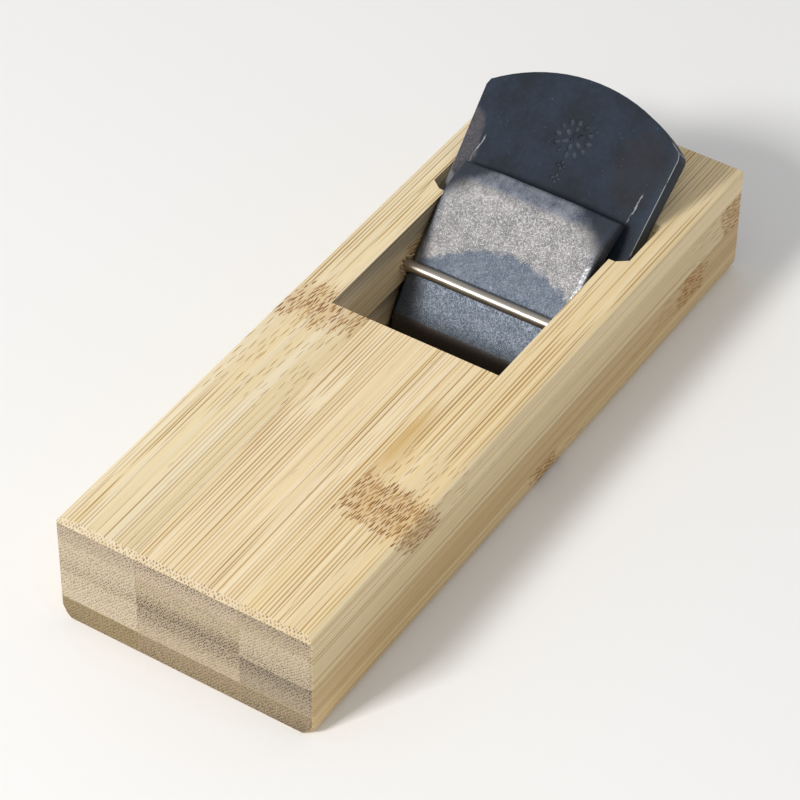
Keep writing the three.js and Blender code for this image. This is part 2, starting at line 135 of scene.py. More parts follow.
# %% Light the room
KEY_DIRECTION = Vector((-0.754, 0.253, 0.606))
KEY_DISTANCE = 1.6
KEY_SIZE = 0.32
KEY_POWER = 19
SKY_TOP = 0.56
SKY_HORIZON = 0.42


def make_key_light():
    lamp = bpy.data.lights.new("key", "AREA")
    lamp.size = KEY_SIZE
    lamp.energy = KEY_POWER
    lamp.color = (1.0, 0.985, 0.96)
    key = new_object("key", lamp)
    key.location = KEY_DIRECTION.normalized() * KEY_DISTANCE
    key.rotation_euler = KEY_DIRECTION.to_track_quat("Z", "Y").to_euler()


def make_sky():
    world = bpy.data.worlds.new("room")
    world.use_nodes = True
    tree = world.node_tree
    place = tree.nodes.new("ShaderNodeTexCoord")
    split = tree.nodes.new("ShaderNodeSeparateXYZ")
    height = tree.nodes.new("ShaderNodeMapRange")
    height.inputs["To Min"].default_value = SKY_HORIZON
    height.inputs["To Max"].default_value = SKY_TOP
    tree.links.new(place.outputs["Generated"], split.inputs[0])
    tree.links.new(split.outputs["Z"], height.inputs["Value"])
    background = tree.nodes["Background"]
    background.inputs["Color"].default_value = (1, 1, 1, 1)
    tree.links.new(height.outputs["Result"], background.inputs["Strength"])
    bpy.context.scene.world = world


make_key_light()
make_sky()
bpy.context.scene.view_settings.view_transform = "Standard"
print("lamp of", KEY_POWER, "W, sky from", SKY_HORIZON, "to", SKY_TOP)

# %% [markdown]
# A long lens from above the front right corner keeps the block's edges nearly parallel,
# as a catalogue picture of a tool does.

# %% Place the camera
CAMERA_PLACE = Vector((-0.43183, -0.26966, 0.47759))
CAMERA_FORWARD = Vector((0.62079, 0.39390, -0.67783))
CAMERA_UP = Vector((0.56483, 0.37488, 0.73514))
CAMERA_LENS = 154.37
SENSOR_WIDTH = 36


def make_camera():
    lens = bpy.data.cameras.new("camera")
    lens.sensor_width = SENSOR_WIDTH
    lens.lens = CAMERA_LENS
    lens.clip_start = 0.01
    back = -CAMERA_FORWARD.normalized()
    right = CAMERA_UP.cross(back).normalized()
    up = back.cross(right)
    camera = new_object("camera", lens)
    turn = Matrix((right, up, back)).transposed().to_4x4()
    camera.matrix_world = Matrix.Translation(CAMERA_PLACE) @ turn
    bpy.context.scene.camera = camera


make_camera()
print("camera stands", round(CAMERA_PLACE.length, 2), "m from the middle of the sole")

# %% [markdown]
# ## A short way to write node trees
#
# Procedural materials are long chains of small nodes. A helper that adds a node, feeds
# its inputs with either a plain value or another node's output, and hands back the
# result lets each material read almost like arithmetic.

# %% Write the node helper
class Nodes:
    def __init__(self, tree):
        self.tree = tree

    def add(self, kind, **settings):
        node = self.tree.nodes.new(kind)
        for name, value in settings.items():
            setattr(node, name, value)
        return node

    def feed(self, socket, value):
        if isinstance(value, bpy.types.NodeSocket):
            self.tree.links.new(value, socket)
        else:
            socket.default_value = value

    def math(self, operation, *values):
        node = self.add("ShaderNodeMath", operation=operation)
        for socket, value in zip(node.inputs, values):
            self.feed(socket, value)
        return node.outputs[0]

    def plus(self, first, second):
        return self.math("ADD", first, second)

    def minus(self, first, second):
        return self.math("SUBTRACT", first, second)

    def times(self, first, second):
        return self.math("MULTIPLY", first, second)

    def over(self, first, second):
        return self.math("DIVIDE", first, second)

    def size(self, value):
        return self.math("ABSOLUTE", value)

    def vector(self, operation, *values):
        node = self.add("ShaderNodeVectorMath", operation=operation)
        for socket, value in zip(node.inputs, values):
            self.feed(socket, value)
        return node.outputs[0]

    def split(self, vector):
        node = self.add("ShaderNodeSeparateXYZ")
        self.feed(node.inputs[0], vector)
        return node.outputs

    def join(self, x, y, z):
        node = self.add("ShaderNodeCombineXYZ")
        for socket, value in zip(node.inputs, (x, y, z)):
            self.feed(socket, value)
        return node.outputs[0]

    def step(self, value, start, end):
        """0 at start and 1 at end, with a smooth ramp between them."""
        node = self.add("ShaderNodeMapRange", interpolation_type="SMOOTHSTEP")
        self.feed(node.inputs["Value"], value)
        self.feed(node.inputs["From Min"], start)
        self.feed(node.inputs["From Max"], end)
        return node.outputs["Result"]

    def span(self, value, low, high):
        """Stretch a value that runs from 0 to 1 so that it runs from low to high."""
        node = self.add("ShaderNodeMapRange")
        self.feed(node.inputs["Value"], value)
        self.feed(node.inputs["To Min"], low)
        self.feed(node.inputs["To Max"], high)
        return node.outputs["Result"]

    def blend(self, share, first, second):
        """The first colour where the share is 0, the second where it is 1."""
        node = self.add("ShaderNodeMix", data_type="RGBA")
        self.feed(node.inputs[0], share)
        self.feed(node.inputs[6], first)
        self.feed(node.inputs[7], second)
        return node.outputs[2]

    def clouds(self, place, rates, detail, roughness=0.5):
        """Noise from 0 to 1. The rates say how many clouds a unit holds along x, y and z."""
        node = self.add("ShaderNodeTexNoise")
        self.feed(node.inputs["Vector"], self.vector("MULTIPLY", place, rates))
        node.inputs["Scale"].default_value = 1.0
        node.inputs["Detail"].default_value = detail
        node.inputs["Roughness"].default_value = roughness
        return node.outputs["Fac"]

    def cells(self, vector, randomness=1.0, dimensions="3D"):
        """Distance to the nearest of many scattered points, and two random numbers each."""
        node = self.add("ShaderNodeTexVoronoi", voronoi_dimensions=dimensions)
        self.feed(node.inputs["Vector"], vector)
        node.inputs["Scale"].default_value = 1.0
        node.inputs["Randomness"].default_value = randomness
        chances = self.split(node.outputs["Color"])
        return node.outputs["Distance"], chances[0], chances[1]

    def place_in_mm(self):
        """The place on the piece, from Object coordinates, in millimetres."""
        coordinates = self.add("ShaderNodeTexCoord")
        return self.vector("MULTIPLY", coordinates.outputs["Object"], (1 / MM,) * 3)

    def group(self, tree, **values):
        node = self.add("ShaderNodeGroup", node_tree=tree)
        for name, value in values.items():
            self.feed(node.inputs[name.replace("_", " ")], value)
        return node.outputs


print("node helper ready")

# %% Write the helper for shader groups
FLOAT = "NodeSocketFloat"
VECTOR = "NodeSocketVector"
COLOR = "NodeSocketColor"


def new_group(name, inputs, outputs):
    """An empty shader group with named sockets: its nodes, its inputs and its outputs."""
    tree = bpy.data.node_groups.new(name, "ShaderNodeTree")
    for label, kind, value in inputs:
        socket = tree.interface.new_socket(label, in_out="INPUT", socket_type=kind)
        socket.default_value = value
    for label, kind in outputs:
        tree.interface.new_socket(label, in_out="OUTPUT", socket_type=kind)
    entry = tree.nodes.new("NodeGroupInput")
    leave = tree.nodes.new("NodeGroupOutput")
    return Nodes(tree), entry.outputs, leave.inputs


print("group helper ready")

# %% [markdown]
# ## Bamboo from the inside out
#
# Bamboo is pale pith with thousands of dark fibre bundles that run along the stalk. Cut
# across, they show as rows of dots; cut along, the same bundles show as stripes. A
# pattern that exists in all three dimensions gives both at once, and the stripes on the
# top face then run over the arris into the dots of the end. Scattered points, spaced
# closely across the strip and stretched very long along it, do this.

# %% Build the fibre bundles
ROW_ANGLE = math.radians(45)
BUNDLE_SPACING = 0.56
SLOW_ALONG_Y = (0.006, 0.06, 0.06)
SLOW_ALONG_Z = (0.009, 0.09, 0.04)


def build_fibres():
    nodes, given, result = new_group(
        "bamboo_fibres",
        [("Place", VECTOR, (0, 0, 0)), ("Seed", VECTOR, (0, 0, 0)),
         ("Spacing", FLOAT, BUNDLE_SPACING)],
        [("Bundles", FLOAT), ("Dots", FLOAT), ("Streaks", FLOAT), ("Bands", FLOAT),
         ("Warmth", FLOAT)],
    )
    place = nodes.vector("ADD", given["Place"], given["Seed"])

    # The rows of bundles drift slowly to and fro along the strip.
    drift_y = nodes.clouds(place, SLOW_ALONG_Y, 1.0)
    drift_z = nodes.clouds(place, SLOW_ALONG_Z, 1.0)
    _, y, z = nodes.split(place)
    y = nodes.plus(y, nodes.span(drift_y, -0.5, 0.5))
    z = nodes.plus(z, nodes.span(drift_z, -1.3, 1.3))
    cosine, sine = math.cos(ROW_ANGLE), math.sin(ROW_ANGLE)
    along_row = nodes.plus(nodes.times(y, cosine), nodes.times(z, sine))
    across_row = nodes.minus(nodes.times(z, cosine), nodes.times(y, sine))
    cell_place = nodes.join(
        nodes.over(along_row, given["Spacing"]),
        nodes.over(across_row, given["Spacing"]),
        0.0,
    )
    distance, chance, other_chance = nodes.cells(cell_place, 0.5, "2D")

    # Each bundle has its own thickness, and fades in and out along its length.
    thickness = nodes.span(other_chance, 0.27, 0.39)
    dot = nodes.step(distance, thickness, nodes.minus(thickness, 0.11))
    fading = nodes.clouds(place, (0.014, 1.4, 1.4), 2.0)
    strength = nodes.times(nodes.span(chance, 0.5, 1.15), nodes.step(fading, 0.2, 0.5))
    strength = nodes.math("MINIMUM", strength, 1.0)
    nodes.feed(result["Bundles"], nodes.times(dot, strength))

    # Seen end on, the same bundles are small sharp dots.
    core = nodes.times(thickness, 0.95)
    core = nodes.step(distance, core, nodes.minus(core, 0.07))
    nodes.feed(result["Dots"], nodes.times(core, nodes.span(chance, 0.6, 1.0)))

    # Between the bundles the pith has fine streaks, broad bands and warmer places.
    streaks = nodes.clouds(place, (0.02, 3.6, 3.6), 5.0, 0.7)
    nodes.feed(result["Streaks"], nodes.step(streaks, 0.3, 0.7))
    bands = nodes.clouds(place, (0.008, 0.55, 0.55), 2.0)
    nodes.feed(result["Bands"], nodes.step(bands, 0.34, 0.66))
    warmth = nodes.clouds(place, (0.012, 0.8, 1.3), 3.0)
    nodes.feed(result["Warmth"], nodes.step(warmth, 0.36, 0.64))
    return nodes.tree


fibres_group = build_fibres()
print("made", fibres_group.name)

# %% [markdown]
# ## Knots
#
# Where the stalk had a joint, the bundles tangle and turn, and the plane of the cut slices
# them into short brown dashes. They lie in staggered rows, like bricks, crowd together
# over a few millimetres and then thin out, because fewer and fewer of them show. The
# same group makes both the knot and the sparse dashes beside it.

# %% Build the knot pattern
def build_knot():
    nodes, given, result = new_group(
        "bamboo_knot",
        [("Place", VECTOR, (0, 0, 0)), ("Seed", VECTOR, (0, 0, 0)), ("Centre", FLOAT, 0.0),
         ("Reach", FLOAT, 5.0), ("Dash Length", FLOAT, 2.0), ("Row Width", FLOAT, 0.5),
         ("Fill", FLOAT, 0.34), ("Tangle", FLOAT, 0.8), ("Share", FLOAT, 1.0)],
        [("Dashes", FLOAT), ("Zone", FLOAT), ("Chance", FLOAT)],
    )
    place = nodes.vector("ADD", given["Place"], given["Seed"])

    # How far the knot is shifted along the strip, which differs from row to row.
    fine = nodes.clouds(place, (0.0, 1.2, 1.2), 2.0, 0.6)
    broad = nodes.clouds(place, (0.0, 0.22, 0.22), 1.0)
    moved_x = nodes.plus(nodes.split(given["Place"])[0], nodes.span(fine, -3.5, 3.5))
    moved_x = nodes.plus(moved_x, nodes.span(broad, -5.0, 5.0))
    away = nodes.size(nodes.minus(moved_x, given["Centre"]))

    # The zone is 1 in the middle of the knot, with a ragged front and back.
    zone = nodes.step(nodes.over(away, given["Reach"]), 1.05, 0.35)

    # Rows of dashes, each row set off against the next, as bricks are.
    bend = nodes.clouds(place, (0.28, 0.22, 0.22), 2.0)
    x, y, z = nodes.split(place)
    row = nodes.plus(nodes.plus(y, z), nodes.times(nodes.span(bend, -1.0, 1.0), given["Tangle"]))
    row = nodes.over(row, given["Row Width"])
    brick = nodes.plus(nodes.over(x, given["Dash Length"]), nodes.times(row, 0.47))
    distance, chance, other_chance = nodes.cells(nodes.join(brick, row, 0.0), 0.55, "2D")
    dash = nodes.step(distance, given["Fill"], nodes.minus(given["Fill"], 0.13))

    # Each dash has its own chance of showing, so they thin out towards the edge.
    wanted = nodes.times(zone, given["Share"])
    shown = nodes.step(nodes.minus(wanted, chance), -0.04, 0.08)
    dash = nodes.times(nodes.times(dash, shown), nodes.span(other_chance, 0.7, 1.0))
    nodes.feed(result["Dashes"], dash)
    nodes.feed(result["Zone"], zone)
    nodes.feed(result["Chance"], other_chance)
    return nodes.tree


knot_group = build_knot()
print("made", knot_group.name)

# %% [markdown]
# ## One strip of bamboo
#
# This group puts the wood together: stripes on the long faces, dots on the end grain, a
# knot with its sparse dashes, and a golden stain in the lee of a knot. The direction that
# the surface faces decides between long grain and end grain, so it is read from the
# object's own normal. It hands out a colour, a roughness and a height.

# %% Paint the long grain
STAIN_COLOUR = (0.60, 0.37, 0.10, 1)
KNOT_HALO_COLOUR = (0.52, 0.28, 0.08, 1)
DARKEST_DASH = (0.62, 0.50, 0.34)


def paint_grain(nodes, given, fibres, stripe, disturbed):
    """Wood with its warm and pale streaks, and the stripes of the bundles."""
    calm_streaks = nodes.times(fibres["Streaks"], nodes.span(disturbed, 1.0, 0.4))
    grain = nodes.blend(nodes.span(fibres["Warmth"], 0.0, 0.8), given["Wood"], given["Warm Wood"])
    grain = nodes.blend(nodes.span(calm_streaks, 0.0, 0.55), grain, given["Pale Wood"])
    grain = nodes.blend(nodes.span(fibres["Bands"], 0.0, 0.10), grain, given["Stripe"])
    return nodes.blend(stripe, grain, given["Stripe"])


def paint_knot(nodes, given, grain, streaks, place_parts, knot, tail):
    """The golden stain, the sparse dashes, and the knot with a warm halo under it."""
    x, y, _ = place_parts
    stain_x = nodes.step(nodes.size(nodes.minus(x, given["Stain Centre"])), 16, 3)
    stain_y = nodes.step(nodes.size(nodes.minus(y, given["Stain Across"])), 5.0, 0.3)
    stain = nodes.times(nodes.times(stain_x, stain_y), given["Stain"])
    stain = nodes.times(stain, nodes.span(streaks, 1.0, 0.35))
    grain = nodes.blend(stain, grain, STAIN_COLOUR)
    grain = nodes.blend(nodes.times(tail["Dashes"], 0.95), grain, given["Stripe"])
    halo = nodes.times(knot["Zone"], nodes.span(given["Knot Share"], 0.0, 0.36))
    grain = nodes.blend(halo, grain, KNOT_HALO_COLOUR)
    dark_knot = nodes.vector("MULTIPLY", given["Knot Colour"], DARKEST_DASH)
    dash_color = nodes.blend(nodes.step(knot["Chance"], 0.3, 0.9), given["Knot Colour"], dark_knot)
    return nodes.blend(knot["Dashes"], grain, dash_color)


print("long grain ready")

# %% Paint the end grain
PALE_FLECK = (0.95, 0.9, 0.8, 1)


def paint_end(nodes, given, place, z, dots):
    """Dots, crowded and dark near the outer wall of the stalk: a colour and their mask."""
    dense_away = nodes.size(nodes.minus(z, given["Dense At"]))
    dense = nodes.step(nodes.over(dense_away, given["Dense Reach"]), 1.0, 0.0)
    dense = nodes.times(dense, given["Dense"])
    dots = nodes.times(dots, nodes.span(dense, 0.7, 1.7))
    dots = nodes.math("MINIMUM", dots, 1.0)
    color = nodes.blend(nodes.span(dense, 0.0, 0.42), given["End Grain"], given["End Dots"])
    fleck = nodes.clouds(place, (3.0, 5.5, 5.5), 2.0, 0.6)
    fleck = nodes.span(nodes.step(fleck, 0.35, 0.7), 0.0, 0.16)
    color = nodes.blend(fleck, color, PALE_FLECK)
    return nodes.blend(dots, color, given["End Dots"]), dots


print("end grain ready")

# %% Build the bamboo group
def build_bamboo():
    nodes, given, result = new_group(
        "bamboo_strip",
        [("Seed", VECTOR, (0, 0, 0)), ("Wood", COLOR, (0.8, 0.7, 0.5, 1)),
         ("Warm Wood", COLOR, (0.7, 0.55, 0.3, 1)), ("Pale Wood", COLOR, (0.9, 0.85, 0.7, 1)),
         ("Stripe", COLOR, (0.45, 0.3, 0.14, 1)), ("End Grain", COLOR, (0.6, 0.5, 0.38, 1)),
         ("End Dots", COLOR, (0.2, 0.14, 0.09, 1)), ("Knot Colour", COLOR, (0.3, 0.14, 0.05, 1)),
         ("Stripes", FLOAT, 0.6), ("Dense At", FLOAT, 0.0), ("Dense Reach", FLOAT, 5.0),
         ("Dense", FLOAT, 0.5), ("Knot Centre", FLOAT, 0.0), ("Knot Reach", FLOAT, 6.0),
         ("Knot Share", FLOAT, 1.0),
         ("Tail Centre", FLOAT, 0.0), ("Tail Reach", FLOAT, 12.0), ("Stain Centre", FLOAT, 0.0),
         ("Stain Across", FLOAT, 0.0), ("Stain", FLOAT, 0.0)],
        [("Color", COLOR), ("Roughness", FLOAT), ("Height", FLOAT)],
    )
    place = nodes.place_in_mm()
    place_parts = nodes.split(place)
    facing_x, facing_y, _ = nodes.split(nodes.add("ShaderNodeTexCoord").outputs["Normal"])
    end_share = nodes.step(nodes.size(facing_x), 0.5, 0.9)
    side_share = nodes.step(nodes.size(facing_y), 0.6, 0.9)

    seed = given["Seed"]
    fibres = nodes.group(fibres_group, Place=place, Seed=seed, Spacing=BUNDLE_SPACING)
    knot = nodes.group(
        knot_group, Place=place, Seed=seed, Centre=given["Knot Centre"],
        Reach=given["Knot Reach"], Dash_Length=2.7, Row_Width=0.46, Fill=0.41, Tangle=0.5,
        Share=given["Knot Share"],
    )
    tail = nodes.group(
        knot_group, Place=place, Seed=seed, Centre=given["Tail Centre"],
        Reach=given["Tail Reach"], Dash_Length=7.5, Row_Width=0.55, Fill=0.25, Tangle=0.3,
        Share=0.6,
    )

    # Stripes die out near a knot and are weaker on the upright sides.
    disturbed = nodes.math("MAXIMUM", knot["Zone"], tail["Zone"])
    stripe = nodes.times(fibres["Bundles"], nodes.span(fibres["Bands"], 0.6, 1.0))
    stripe = nodes.times(stripe, nodes.span(disturbed, 1.0, 0.08))
    stripe = nodes.times(stripe, given["Stripes"])
    stripe = nodes.times(stripe, nodes.span(side_share, 1.0, 0.55))
    grain = paint_grain(nodes, given, fibres, stripe, disturbed)
    grain = paint_knot(nodes, given, grain, fibres["Streaks"], place_parts, knot, tail)
    end_grain, dots = paint_end(nodes, given, place, place_parts[2], fibres["Dots"])
    nodes.feed(result["Color"], nodes.blend(end_share, grain, end_grain))

    # Pores are rougher than the wood between them and a little lower.
    pores = nodes.math("MAXIMUM", stripe, knot["Dashes"])
    pores = nodes.math("MAXIMUM", pores, nodes.times(dots, end_share))
    nodes.feed(result["Roughness"], nodes.span(nodes.math("MAXIMUM", pores, end_share), 0.5, 0.72))
    height = nodes.minus(nodes.times(fibres["Streaks"], 0.4), pores)
    nodes.feed(result["Height"], height)
    return nodes.tree


bamboo_group = build_bamboo()
print("made", bamboo_group.name)

# %% [markdown]
# ## A finish for each strip
#
# No two strips come from the same stalk, so each gets its own seed, its own tints and its
# own knot. In a glued block the strips are laid with the dense outer wall of one against
# the next, which is why the end grain is darkest along the middle glue line. Distances
# along a strip are counted in millimetres from the front end.

# %% List the strips
def srgb(red, green, blue):
    """A colour as a paint chart gives it, 0 to 255, turned into linear light."""
    linear = []
    for value in (red, green, blue):
        share = value / 255
        linear.append(share / 12.92 if share <= 0.04045 else ((share + 0.055) / 1.055) ** 2.4)
    return (*linear, 1)


PLIES = ("sole", "lower", "upper", "top")
ply_tops = {ply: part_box(f"{ply}_ply_left_strip")[1].z for ply in PLIES}
dense_heights = {
    "top": ply_tops["top"] / MM,
    "upper": ply_tops["lower"] / MM,
    "lower": ply_tops["lower"] / MM,
    "sole": 0.0,
}
FAR_AWAY = -400

# Colour of the wood and of the end grain, how dense the end grain gets, then the middle
# and the reach of the knot, and of the sparse dashes beside it.
COLUMNS = ("wood", "end", "dense", "knot", "reach", "tail", "tail_reach")
strip_rows = {
    "top_left": ((243, 227, 193), (176, 158, 133), 0.3, 77.5, 7, 60, 19),
    "top_middle": ((243, 224, 188), (178, 158, 132), 0.5, 148, 5, 140, 8),
    "top_right": ((239, 219, 179), (172, 152, 124), 0.5, 36.5, 7.5, 48, 8),
    "upper_left": ((236, 218, 182), (185, 168, 140), 0.3, 112, 6, 124, 10),
    "upper_middle": ((230, 210, 172), (171, 152, 121), 1.0, 20, 5, 12, 8),
    "upper_right": ((225, 205, 164), (180, 162, 134), 0.35, 158, 6, 149, 10),
    "lower_left": ((226, 204, 164), (190, 172, 144), 0.1, 60, 6, 70, 10),
    "lower_middle": ((226, 202, 162), (176, 157, 129), 0.8, 90, 6, 80, 10),
    "lower_right": ((208, 181, 136), (150, 133, 108), 0.7, 142, 7, 131, 9),
    "sole_left": ((218, 194, 148), (137, 115, 73), 0.1, 33, 6, 43, 9),
    "sole_middle": ((220, 196, 154), (144, 122, 88), 0.3, 128, 6, 118, 9),
    "sole_right": ((222, 197, 150), (142, 122, 89), 0.4, 84, 6, 94, 9),
}
strip_finishes = {name: dict(zip(COLUMNS, row)) for name, row in strip_rows.items()}
strip_finishes["top_left"]["share"] = 0.8
strip_finishes["top_right"].update(share=1.35, stain=54, stain_across=-13.6)
print(len(strip_finishes), "strips")

# %% Write the helpers for materials
def new_finish(name, metallic=0.0, specular=0.5):
    """A material with the values that are the same all over set on its shader."""
    material = bpy.data.materials.new(name)
    material.use_nodes = True
    shader = material.node_tree.nodes["Principled BSDF"]
    shader.inputs["Metallic"].default_value = metallic
    shader.inputs["Specular IOR Level"].default_value = specular
    return material, Nodes(material.node_tree), shader


def add_bump(nodes, shader, height, distance):
    """Let a height pattern tilt the light on a surface. The distance is in metres."""
    bump = nodes.add("ShaderNodeBump")
    bump.inputs["Strength"].default_value = 0.5
    bump.inputs["Distance"].default_value = distance
    nodes.feed(bump.inputs["Height"], height)
    nodes.feed(shader.inputs["Normal"], bump.outputs["Normal"])


print("material helpers ready")

# %% Make the strip materials
STRIPE_DEPTH = 0.00004
KNOT_COLOUR = (0.35, 0.15, 0.033, 1)
STRIPE_TINT = (0.42, 0.265, 0.07)
WARM_TINT = (0.95, 0.87, 0.68)
PALE_TINT = (1.10, 1.12, 1.15)
DOT_TINT = (0.12, 0.10, 0.085)


def tinted(color, tint):
    """A colour with each of its parts multiplied, and kept at 1 or less."""
    return (*(min(part * share, 1.0) for part, share in zip(color, tint)), 1)


def make_bamboo(name, number, finish):
    """The finish of one strip. Its number moves all its patterns to a place of their own."""
    material, nodes, shader = new_finish(f"bamboo_{name}", 0.0, 0.35)
    ply = name.split("_")[0]
    wood = srgb(*finish["wood"])
    end = srgb(*finish["end"])
    surface = nodes.group(
        bamboo_group,
        Seed=(37.0 * number, 11.3 * number, 5.7 * number),
        Wood=wood,
        Warm_Wood=tinted(wood, WARM_TINT),
        Pale_Wood=tinted(wood, PALE_TINT),
        Stripe=tinted(wood, STRIPE_TINT),
        End_Grain=end,
        End_Dots=tinted(end, DOT_TINT),
        Knot_Colour=KNOT_COLOUR,
        Stripes=0.95,
        Dense_At=dense_heights[ply],
        Dense_Reach=5.5,
        Dense=finish["dense"],
        Knot_Centre=front_x + finish["knot"],
        Knot_Reach=finish["reach"],
        Knot_Share=finish.get("share", 1.0),
        Tail_Centre=front_x + finish["tail"],
        Tail_Reach=finish["tail_reach"],
        Stain_Centre=front_x + finish.get("stain", FAR_AWAY),
        Stain_Across=finish.get("stain_across", 0),
        Stain=1.0 if "stain" in finish else 0.0,
    )
    nodes.feed(shader.inputs["Base Color"], surface["Color"])
    nodes.feed(shader.inputs["Roughness"], surface["Roughness"])
    add_bump(nodes, shader, surface["Height"], STRIPE_DEPTH)
    return material


bamboo = {name: make_bamboo(name, number + 1, finish)
          for number, (name, finish) in enumerate(strip_finishes.items())}
print("made", len(bamboo), "bamboo finishes")

# %% [markdown]
# ## Glue lines
#
# A glued seam shows as a hairline, a little darker than the bamboo. Where two strips
# meet, each gets a very small bevel whose new face is coloured with this dark glue, so
# the line is there in the shape as well as in the colour.

# %% Mix the glue colour
GLUE_DARK = (0.30, 0.215, 0.115, 1)
GLUE_PALE = (0.50, 0.385, 0.23, 1)


def make_glue():
    material, nodes, shader = new_finish("glue_line")
    place = nodes.place_in_mm()
    blots = nodes.clouds(place, (0.4, 1.5, 1.5), 3.0, 0.6)
    blots = nodes.step(blots, 0.35, 0.65)
    nodes.feed(shader.inputs["Base Color"], nodes.blend(blots, GLUE_DARK, GLUE_PALE))
    nodes.feed(shader.inputs["Roughness"], nodes.span(blots, 0.45, 0.7))
    return material


glue = make_glue()
print("made", glue.name)

# %% [markdown]
# ## The strips themselves
#
# The CAD strips have exactly the right shape, so each strip is a copy of one. Its loose
# triangles are merged into clean faces, the edges that lie on a seam get the glue bevel,
# and the block's upright corners a softer one. Its four bottom corners are sanded round,
# which two slanting cuts across each corner do.

# %% Write the helpers for strips
SEAM_WIDTH = 0.00005
SOFT_WIDTH = 0.0003
CORNER_ZONE = 0.001
UPRIGHT = 0.9
SHARP = math.radians(30)
FLAT = math.radians(0.5)
SAME_PLACE = 1e-6


@contextmanager
def editing(mesh):
    """Open a mesh for work, and write the changes back afterwards."""
    work = bmesh.new()
    work.from_mesh(mesh)
    yield work
    work.to_mesh(mesh)
    work.free()


def clean_copy(node, name):
    """A copy of a CAD node's mesh with its corners merged and its flat faces whole."""
    mesh = frame["nodes"][node].data.copy()
    mesh.name = name
    mesh.materials.clear()
    with editing(mesh) as work:
        bmesh.ops.remove_doubles(work, verts=work.verts, dist=SAME_PLACE)
        bmesh.ops.dissolve_limit(work, angle_limit=FLAT, verts=work.verts, edges=work.edges)
    return new_object(name, mesh)


def bake_modifiers(piece):
    """Turn what the modifiers show into the piece's own plain mesh, smooth between edges."""
    graph = bpy.context.evaluated_depsgraph_get()
    mesh = bpy.data.meshes.new_from_object(piece.evaluated_get(graph))
    piece.modifiers.clear()
    piece.data = mesh
    mesh.polygons.foreach_set("use_smooth", [True] * len(mesh.polygons))
    mesh.set_sharp_from_angle(angle=SHARP)
    return piece


def bevel_edges(work, chosen, width, segments=1, material=-1):
    """Bevel chosen edges of a mesh in work. The new faces take the material's number."""
    bmesh.ops.bevel(
        work, geom=chosen, offset=width, segments=segments, profile=0.5, affect="EDGES",
        material=material, clamp_overlap=True, offset_type="OFFSET",
    )


def sharp_edges(work):
    closed = [edge for edge in work.edges if len(edge.link_faces) == 2]
    return [edge for edge in closed if edge.calc_face_angle() > SHARP]


print("strip helpers ready")

# %% Find the seams and the corners
seam_heights = [ply_tops[ply] for ply in PLIES[:-1]]
seam_places = [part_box("sole_ply_right_strip")[1].y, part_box("sole_ply_left_strip")[0].y]
block_low, block_high = (Vector(corner) for corner in cad_box)


def on_seam(edge):
    """Whether an edge lies on a glue line, at its height or at its place across."""
    for axis, planes in ((2, seam_heights), (1, seam_places)):
        for plane in planes:
            if all(abs(vertex.co[axis] - plane) < SAME_PLACE for vertex in edge.verts):
                return True
    return False


def on_upright_corner(edge):
    """Whether an edge runs up one of the block's four corners."""
    first, second = (vertex.co for vertex in edge.verts)
    middle = (first + second) / 2
    upright = abs((second - first).normalized().z) > UPRIGHT
    at_side = min(middle.y - block_low.y, block_high.y - middle.y) < CORNER_ZONE
    at_end = min(middle.x - block_low.x, block_high.x - middle.x) < CORNER_ZONE
    return upright and at_side and at_end


print(len(seam_heights), "glue lines between plies,", len(seam_places), "across")

# %% Write the cut for the bottom corners
CORNER_CUTS = ((1.2, (1.0, 1.0, 0.45)), (1.5, (1.0, 1.0, 1.0)))


def knock_off_corners(work):
    """Cut the block's bottom corners off a strip, if the strip reaches them."""
    for side_x, side_y in ((-1, -1), (-1, 1), (1, -1), (1, 1)):
        corner = Vector((
            block_high.x if side_x > 0 else block_low.x,
            block_high.y if side_y > 0 else block_low.y,
            block_low.z,
        ))
        for depth, (lean_x, lean_y, lean_z) in CORNER_CUTS:
            outwards = Vector((side_x * lean_x, side_y * lean_y, -lean_z)).normalized()
            cut = bmesh.ops.bisect_plane(
                work, geom=work.verts[:] + work.edges[:] + work.faces[:],
                plane_co=corner - outwards * depth * MM, plane_no=outwards, clear_outer=True,
            )
            rim = [part for part in cut["geom_cut"] if isinstance(part, bmesh.types.BMEdge)]
            if rim:
                bmesh.ops.edgeloop_fill(work, edges=rim)


print(len(CORNER_CUTS), "cuts for each corner")

# %% Ease the strips
strip_nodes = [node for node in frame["nodes"] if "_ply_" in node]
softened = 0
for node in sorted(strip_nodes):
    ply, _, column = node.split("_")[:3]
    strip = clean_copy(node, f"bamboo_{node}")
    strip.data.materials.append(bamboo[f"{ply}_{column}"])
    strip.data.materials.append(glue)
    with editing(strip.data) as work:
        knock_off_corners(work)
        corners = [edge for edge in sharp_edges(work) if on_upright_corner(edge)]
        softened += len(corners)
        bevel_edges(work, corners, SOFT_WIDTH, 2, 0)
        seams = [edge for edge in sharp_edges(work) if on_seam(edge)]
        bevel_edges(work, seams, SEAM_WIDTH, 1, 1)
    bake_modifiers(strip)
    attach(strip, "block")
    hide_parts(node)
print("eased", len(strip_nodes), "pieces of bamboo and", softened, "upright edges")

# %% [markdown]
# ## Geometry Nodes in a script
#
# Small things that repeat, such as torn fibres and the petals of a stamp, are placed by
# Geometry Nodes. A tree is only run once here: an empty object gets it as a modifier, its
# inputs are set, and the result is kept as a plain mesh, so that nothing live is left on
# the finished piece.

# %% Write the helper that runs a tree
GEOMETRY = "NodeSocketGeometry"
INTEGER = "NodeSocketInt"
MATERIAL = "NodeSocketMaterial"


